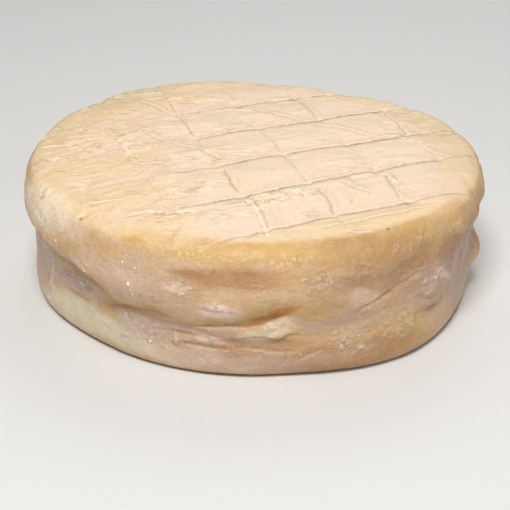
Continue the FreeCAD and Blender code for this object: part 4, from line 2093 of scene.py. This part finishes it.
            # painted highlights and shade along the fine wrinkles
            colour = graph.blend(wrinkled * self.wrinkle_highlight.on(wrinkle), colour, self.painted_highlight)
            colour = graph.blend(wrinkled * self.wrinkle_shade.on(wrinkle), colour, self.crease)
        fold, fold_side = graph.mask(Layer.FOLD), graph.mask(Layer.FOLD_SIDE)
        mark, mark_side = graph.mask(Layer.MARK), graph.mask(Layer.MARK_SIDE)
        # painted highlights and shade along folds and rack marks
        least, more = self.fold_highlight_share
        raised = fold * self.fold_highlight.on(fold_side) * (top * more + least)
        colour = graph.blend(raised.held(), colour, self.painted_highlight)
        colour = graph.blend((fold * self.fold_shade.on(fold_side)).held(), colour, self.crease)
        colour = graph.blend((mark * self.mark_highlight.on(mark_side)).held(), colour, self.painted_highlight)
        # painted shade at the bottom of each mark
        pressed = mark * self.mark_shade.on(mark_side) * grains[Grain.MOTTLE]
        return graph.blend(pressed.held(), colour, self.line_shade)

    def speckled(self, graph: Graph, grains: dict[Grain, Value], colour: Value, spots: list[Vector]) -> Value:
        """Adds the pinholes and a fine speckle to a colour.

        Args:
            graph: the rind's nodes.
            grains: the rind's noises.
            colour: the colour under them.
            spots: places of the pinholes, in metres.

        Returns:
            The colour.
        """
        place = graph.place()
        for spot in spots:
            colour = graph.blend(graph.near(place, spot, self.speck_reach) * 0.9, colour, self.speck)
        speckle = graph.blend(grains[Grain.FINE].over(0.35, 2.2), self.dust, paint(255, 255, 255))
        return graph.shade(self.dust_share, colour, speckle)

    def material(self, form: WheelForm) -> bpy.types.Material:
        """Makes the material of the rind.

        Args:
            form: surface of the dressed wheel.

        Returns:
            The material.
        """
        graph = Graph("washed_rind")
        place = graph.place()
        grains = {grain: graph.grain(place, grain.value) for grain in Grain}
        grains[Grain.GATHERED] = grains[Grain.GATHERED].over(0.47, 6.0)
        colour = self.lined(graph, grains, self.patched(graph, grains, self.ground(graph, grains)))
        spots = [form.touch(speck)[0] * MM for speck in self.specks]
        return graph.finish(
            Base_Color=self.speckled(graph, grains, colour, spots),
            Roughness=(0.56 - grains[Grain.MOTTLE] * 0.26).held(),
            Normal=self.bump.normal(graph, grains),
            Subsurface_Weight=0.1,
            Subsurface_Radius=(1.0, 0.55, 0.3),
            Subsurface_Scale=2.0 * MM,
            Specular_IOR_Level=0.5,
        )


@dataclass(frozen=True)
class Bead:
    """A bead of whey on the rind.

    Args:
        spot: about where it sits.
        size: its radius.
    """

    spot: tuple[float, float, float]
    size: float


BEADS = (
    Bead((-21.8, -20.1, 29.8), 0.3),
    Bead((-26.3, -4.5, 30.3), 0.35),
    Bead((-25.3, -5.6, 30.3), 0.2),
    Bead((-40.7, -30.0, 22.1), 0.25),
    Bead((-33.9, -36.9, 18.9), 0.22),
    Bead((-26.0, -42.5, 23.5), 0.22),
    Bead((-23.4, -44.1, 23.0), 0.2),
    Bead((-24.6, -44.2, 19.6), 0.4),
    Bead((-24.0, -44.2, 18.3), 0.16),
    Bead((-23.8, -44.2, 17.3), 0.2),
    Bead((-23.7, -44.2, 16.4), 0.14),
    Bead((-26.9, -42.8, 20.8), 0.16),
    Bead((-21.0, -42.7, 5.7), 0.3),
    Bead((-20.6, -42.7, 6.9), 0.16),
    Bead((-22.4, -41.7, 8.6), 0.2),
    Bead((-14.2, -42.2, 28.5), 0.28),
    Bead((2.5, -40.4, 28.5), 0.45),
)


@dataclass(frozen=True)
class WheyFinish:
    """Colours and sheen of the drying whey, near white so that the beads' colour is partly a painted glint.

    Args:
        pale: the paler colour.
        dark: the darker colour.
        cloud: noise between them.
    """

    # near white: partly a painted glint on the beads
    pale: Colour = paint(250, 240, 224)
    dark: Colour = paint(240, 226, 202)
    cloud: GrainKind = GrainKind(0.4)

    def material(self) -> bpy.types.Material:
        """Makes the material of the whey.

        Returns:
            The material.
        """
        graph = Graph("whey")
        cloud = graph.grain(graph.place(), self.cloud)
        colour = graph.blend(cloud, self.pale, self.dark)
        return graph.finish(Base_Color=colour, Roughness=cloud * 0.15 + 0.05, Specular_IOR_Level=0.6)


@dataclass(frozen=True)
class Whey:
    """Beads of whey on the rind, with one dried streak across the nearest pad.

    Args:
        form: surface of the dressed wheel.
        streak: ends of the streak.
        streak_size: half width of the streak.
        spacing: distance between the streak's beads, in half widths.
        sway: how far the streak strays to the side.
        bends: how many bends it has.
        swell: how much its width changes.
        swells: how often its width changes.
        sides: sides of every bead.
        rings: rings of every bead.
        flatness: height of a bead as a share of its radius.
        sunk: how deep its base is sunk, as a share of its height.
    """

    form: WheelForm
    streak: tuple[tuple[float, float, float], ...] = ((-0.4, -27.6, 29.6), (2.4, -39.6, 28.6))
    streak_size: float = 0.16
    spacing: float = 1.1
    sway: float = 0.5
    bends: float = 3.0
    swell: float = 0.7
    swells: float = 12.0
    sides: int = 10
    rings: int = 5
    flatness: float = 0.6
    sunk: float = 0.3

    def beads(self) -> list[Bead]:
        """Every bead, with the close-set ones that make up the streak.

        Returns:
            The beads, the streak's last.
        """
        first, last = (Vector(end) for end in self.streak)
        count = int((last - first).length / (self.spacing * self.streak_size))
        shares = np.arange(count) / (count - 1.0)
        sway = self.sway * Unevenness(95).along(shares, 1.0 / self.bends, 0.0)
        size = self.streak_size * (1.0 + self.swell * Unevenness(96).along(shares, 1.0 / self.swells, 0.0))
        spots = [first.lerp(last, share) + Vector((aside, 0.0, 0.0)) for share, aside in zip(shares, sway)]
        return list(BEADS) + [Bead(tuple(spot), radius) for spot, radius in zip(spots, size)]

    def cap(self) -> Array:
        """Shapes a bead of radius 1.

        Returns:
            Its corners, ring by ring, the one on top last.
        """
        corners = []
        for ring, side in product(range(self.rings), range(self.sides)):
            level, around = math.pi / 2.0 * ring / self.rings, 2.0 * math.pi * side / self.sides
            height = self.flatness * (math.sin(level) * (1.0 + self.sunk) - self.sunk)
            corners.append((math.cos(around) * math.cos(level), math.sin(around) * math.cos(level), height))
        return np.array(corners + [(0.0, 0.0, self.flatness)])

    def cap_faces(self, first: int) -> Faces:
        """Closes a bead with faces.

        Args:
            first: number of the bead's first corner.

        Returns:
            The corners of each face.
        """
        faces: Faces = []
        for ring, side in product(range(self.rings - 1), range(self.sides)):
            after = (side + 1) % self.sides
            low, high = first + ring * self.sides, first + (ring + 1) * self.sides
            faces.append((low + side, low + after, high + after, high + side))
        top = first + self.rings * self.sides
        last = top - self.sides
        faces += [(last + side, last + (side + 1) % self.sides, top) for side in range(self.sides)]
        return faces + [tuple(first + side for side in reversed(range(self.sides)))]

    def build(self) -> bpy.types.Object:
        """Makes all beads as one piece.

        Returns:
            The new piece, dressed.
        """
        corners: list[Vector] = []
        faces: Faces = []
        for bead in self.beads():
            place, outward = self.form.touch(bead.spot)
            turn = outward.to_track_quat("Z", "Y")
            faces += self.cap_faces(len(corners))
            corners += [(place + turn @ (Vector(corner) * bead.size)) * MM for corner in self.cap()]
        piece = new_piece("whey_beads", corners, faces)
        piece.data.materials.append(WheyFinish().material())
        return piece


@dataclass(frozen=True)
class Camera:
    """The camera, in millimetres and degrees.

    Args:
        aim: where it looks.
        distance: how far from there it stands.
        pitch: how steeply it looks down.
        lens: its focal length.
    """

    aim: tuple[float, float, float] = (0.08, 0.91, 3.86)
    distance: float = 290.0
    pitch: float = 26.0
    lens: float = 88.2

    def build(self) -> None:
        """Makes the camera and hands it to the scene."""
        data = bpy.data.cameras.new("camera")
        data.lens = self.lens
        data.clip_start = 10.0 * MM
        camera = bpy.data.objects.new("camera", data)
        tilt = math.radians(self.pitch)
        back = Vector((0.0, -math.cos(tilt), math.sin(tilt)))
        camera.location = (Vector(self.aim) + back * self.distance) * MM
        camera.rotation_euler = (math.pi / 2.0 - tilt, 0.0, 0.0)
        bpy.context.scene.collection.objects.link(camera)
        bpy.context.scene.camera = camera


@dataclass(frozen=True)
class Softbox:
    """A soft lamp aimed at the wheel.

    Args:
        name: its name.
        azimuth: where it stands.
        rise: how high over the horizon it stands.
        size: side of its square.
        power: its power in watts.
        distance: how far from the wheel it stands.
    """

    name: str
    azimuth: float
    rise: float
    size: float
    power: float
    distance: float = 700.0

    def build(self) -> None:
        """Makes the lamp."""
        data = bpy.data.lights.new(self.name, "AREA")
        data.shape = "SQUARE"
        data.size = self.size * MM
        data.energy = self.power
        lamp = bpy.data.objects.new(self.name, data)
        tilt, turn = math.radians(self.rise), math.radians(self.azimuth)
        out = Vector((math.cos(turn) * math.cos(tilt), math.sin(turn) * math.cos(tilt), math.sin(tilt)))
        lamp.location = out * self.distance * MM
        lamp.rotation_euler = out.to_track_quat("Z", "Y").to_euler()
        bpy.context.scene.collection.objects.link(lamp)


@dataclass(frozen=True)
class Studio:
    """The pale floor, the lamps and the surrounding light.

    Args:
        floor_side: side of the floor.
        floor_colour: its colour.
        cloud: its faint unevenness.
        cloud_dark: darkest of that unevenness.
        cloud_share: strength of it.
        around: strength of the surrounding light.
        lamps: the lamps.
    """

    floor_side: float = 4000.0
    floor_colour: Colour = paint(222, 221, 218)
    cloud: GrainKind = GrainKind(60.0)
    cloud_dark: Colour = paint(225, 225, 225)
    cloud_share: float = 0.03
    around: float = 0.2
    lamps: tuple[Softbox, ...] = (
        Softbox("key_lamp", -100.0, 58.0, 240.0, 4.2),
        Softbox("back_lamp", 80.0, 45.0, 400.0, 1.1),
        Softbox("fill_lamp", -30.0, 24.0, 300.0, 0.45),
    )

    def floor(self) -> None:
        """Makes the floor and hands it to the stage."""
        side = self.floor_side * MM / 2.0
        corners = [(-side, -side, 0.0), (side, -side, 0.0), (side, side, 0.0), (-side, side, 0.0)]
        floor = new_piece("floor", corners, [(0, 1, 2, 3)])
        graph = Graph("floor_paint")
        cloud = graph.blend(graph.grain(graph.place(), self.cloud), self.cloud_dark, paint(255, 255, 255))
        colour = graph.shade(self.cloud_share, self.floor_colour, cloud)
        floor.data.materials.append(graph.finish(Base_Color=colour, Roughness=0.7))

    def build(self) -> None:
        """Makes the floor, the surroundings and the lamps."""
        self.floor()
        world = bpy.data.worlds.new("surroundings")
        world.use_nodes = True
        background = world.node_tree.nodes["Background"]
        background.inputs["Color"].default_value = (1.0, 1.0, 1.0, 1.0)
        background.inputs["Strength"].default_value = self.around
        bpy.context.scene.world = world
        for lamp in self.lamps:
            lamp.build()


def main() -> None:
    """Builds and dresses the wheel, then sets up the studio."""
    logging.basicConfig(level=logging.INFO, format="%(name)s: %(message)s")
    wheel = WheelSkin(WheelNet(WheelForm(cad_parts[WHEEL_NODE]))).build()
    form = WheelForm(wheel)
    wheel.data.materials.append(RindFinish().material(form))
    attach(wheel, "root")
    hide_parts(WHEEL_NODE)
    whey = Whey(form).build()
    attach(whey, "root")
    for piece in (wheel, whey):
        LOG.info("%s: %d corners, %d faces", piece.name, len(piece.data.vertices), len(piece.data.polygons))
    Camera().build()
    Studio().build()
    bpy.context.scene.view_settings.view_transform = "Standard"


if __name__ == "__main__":
    main()
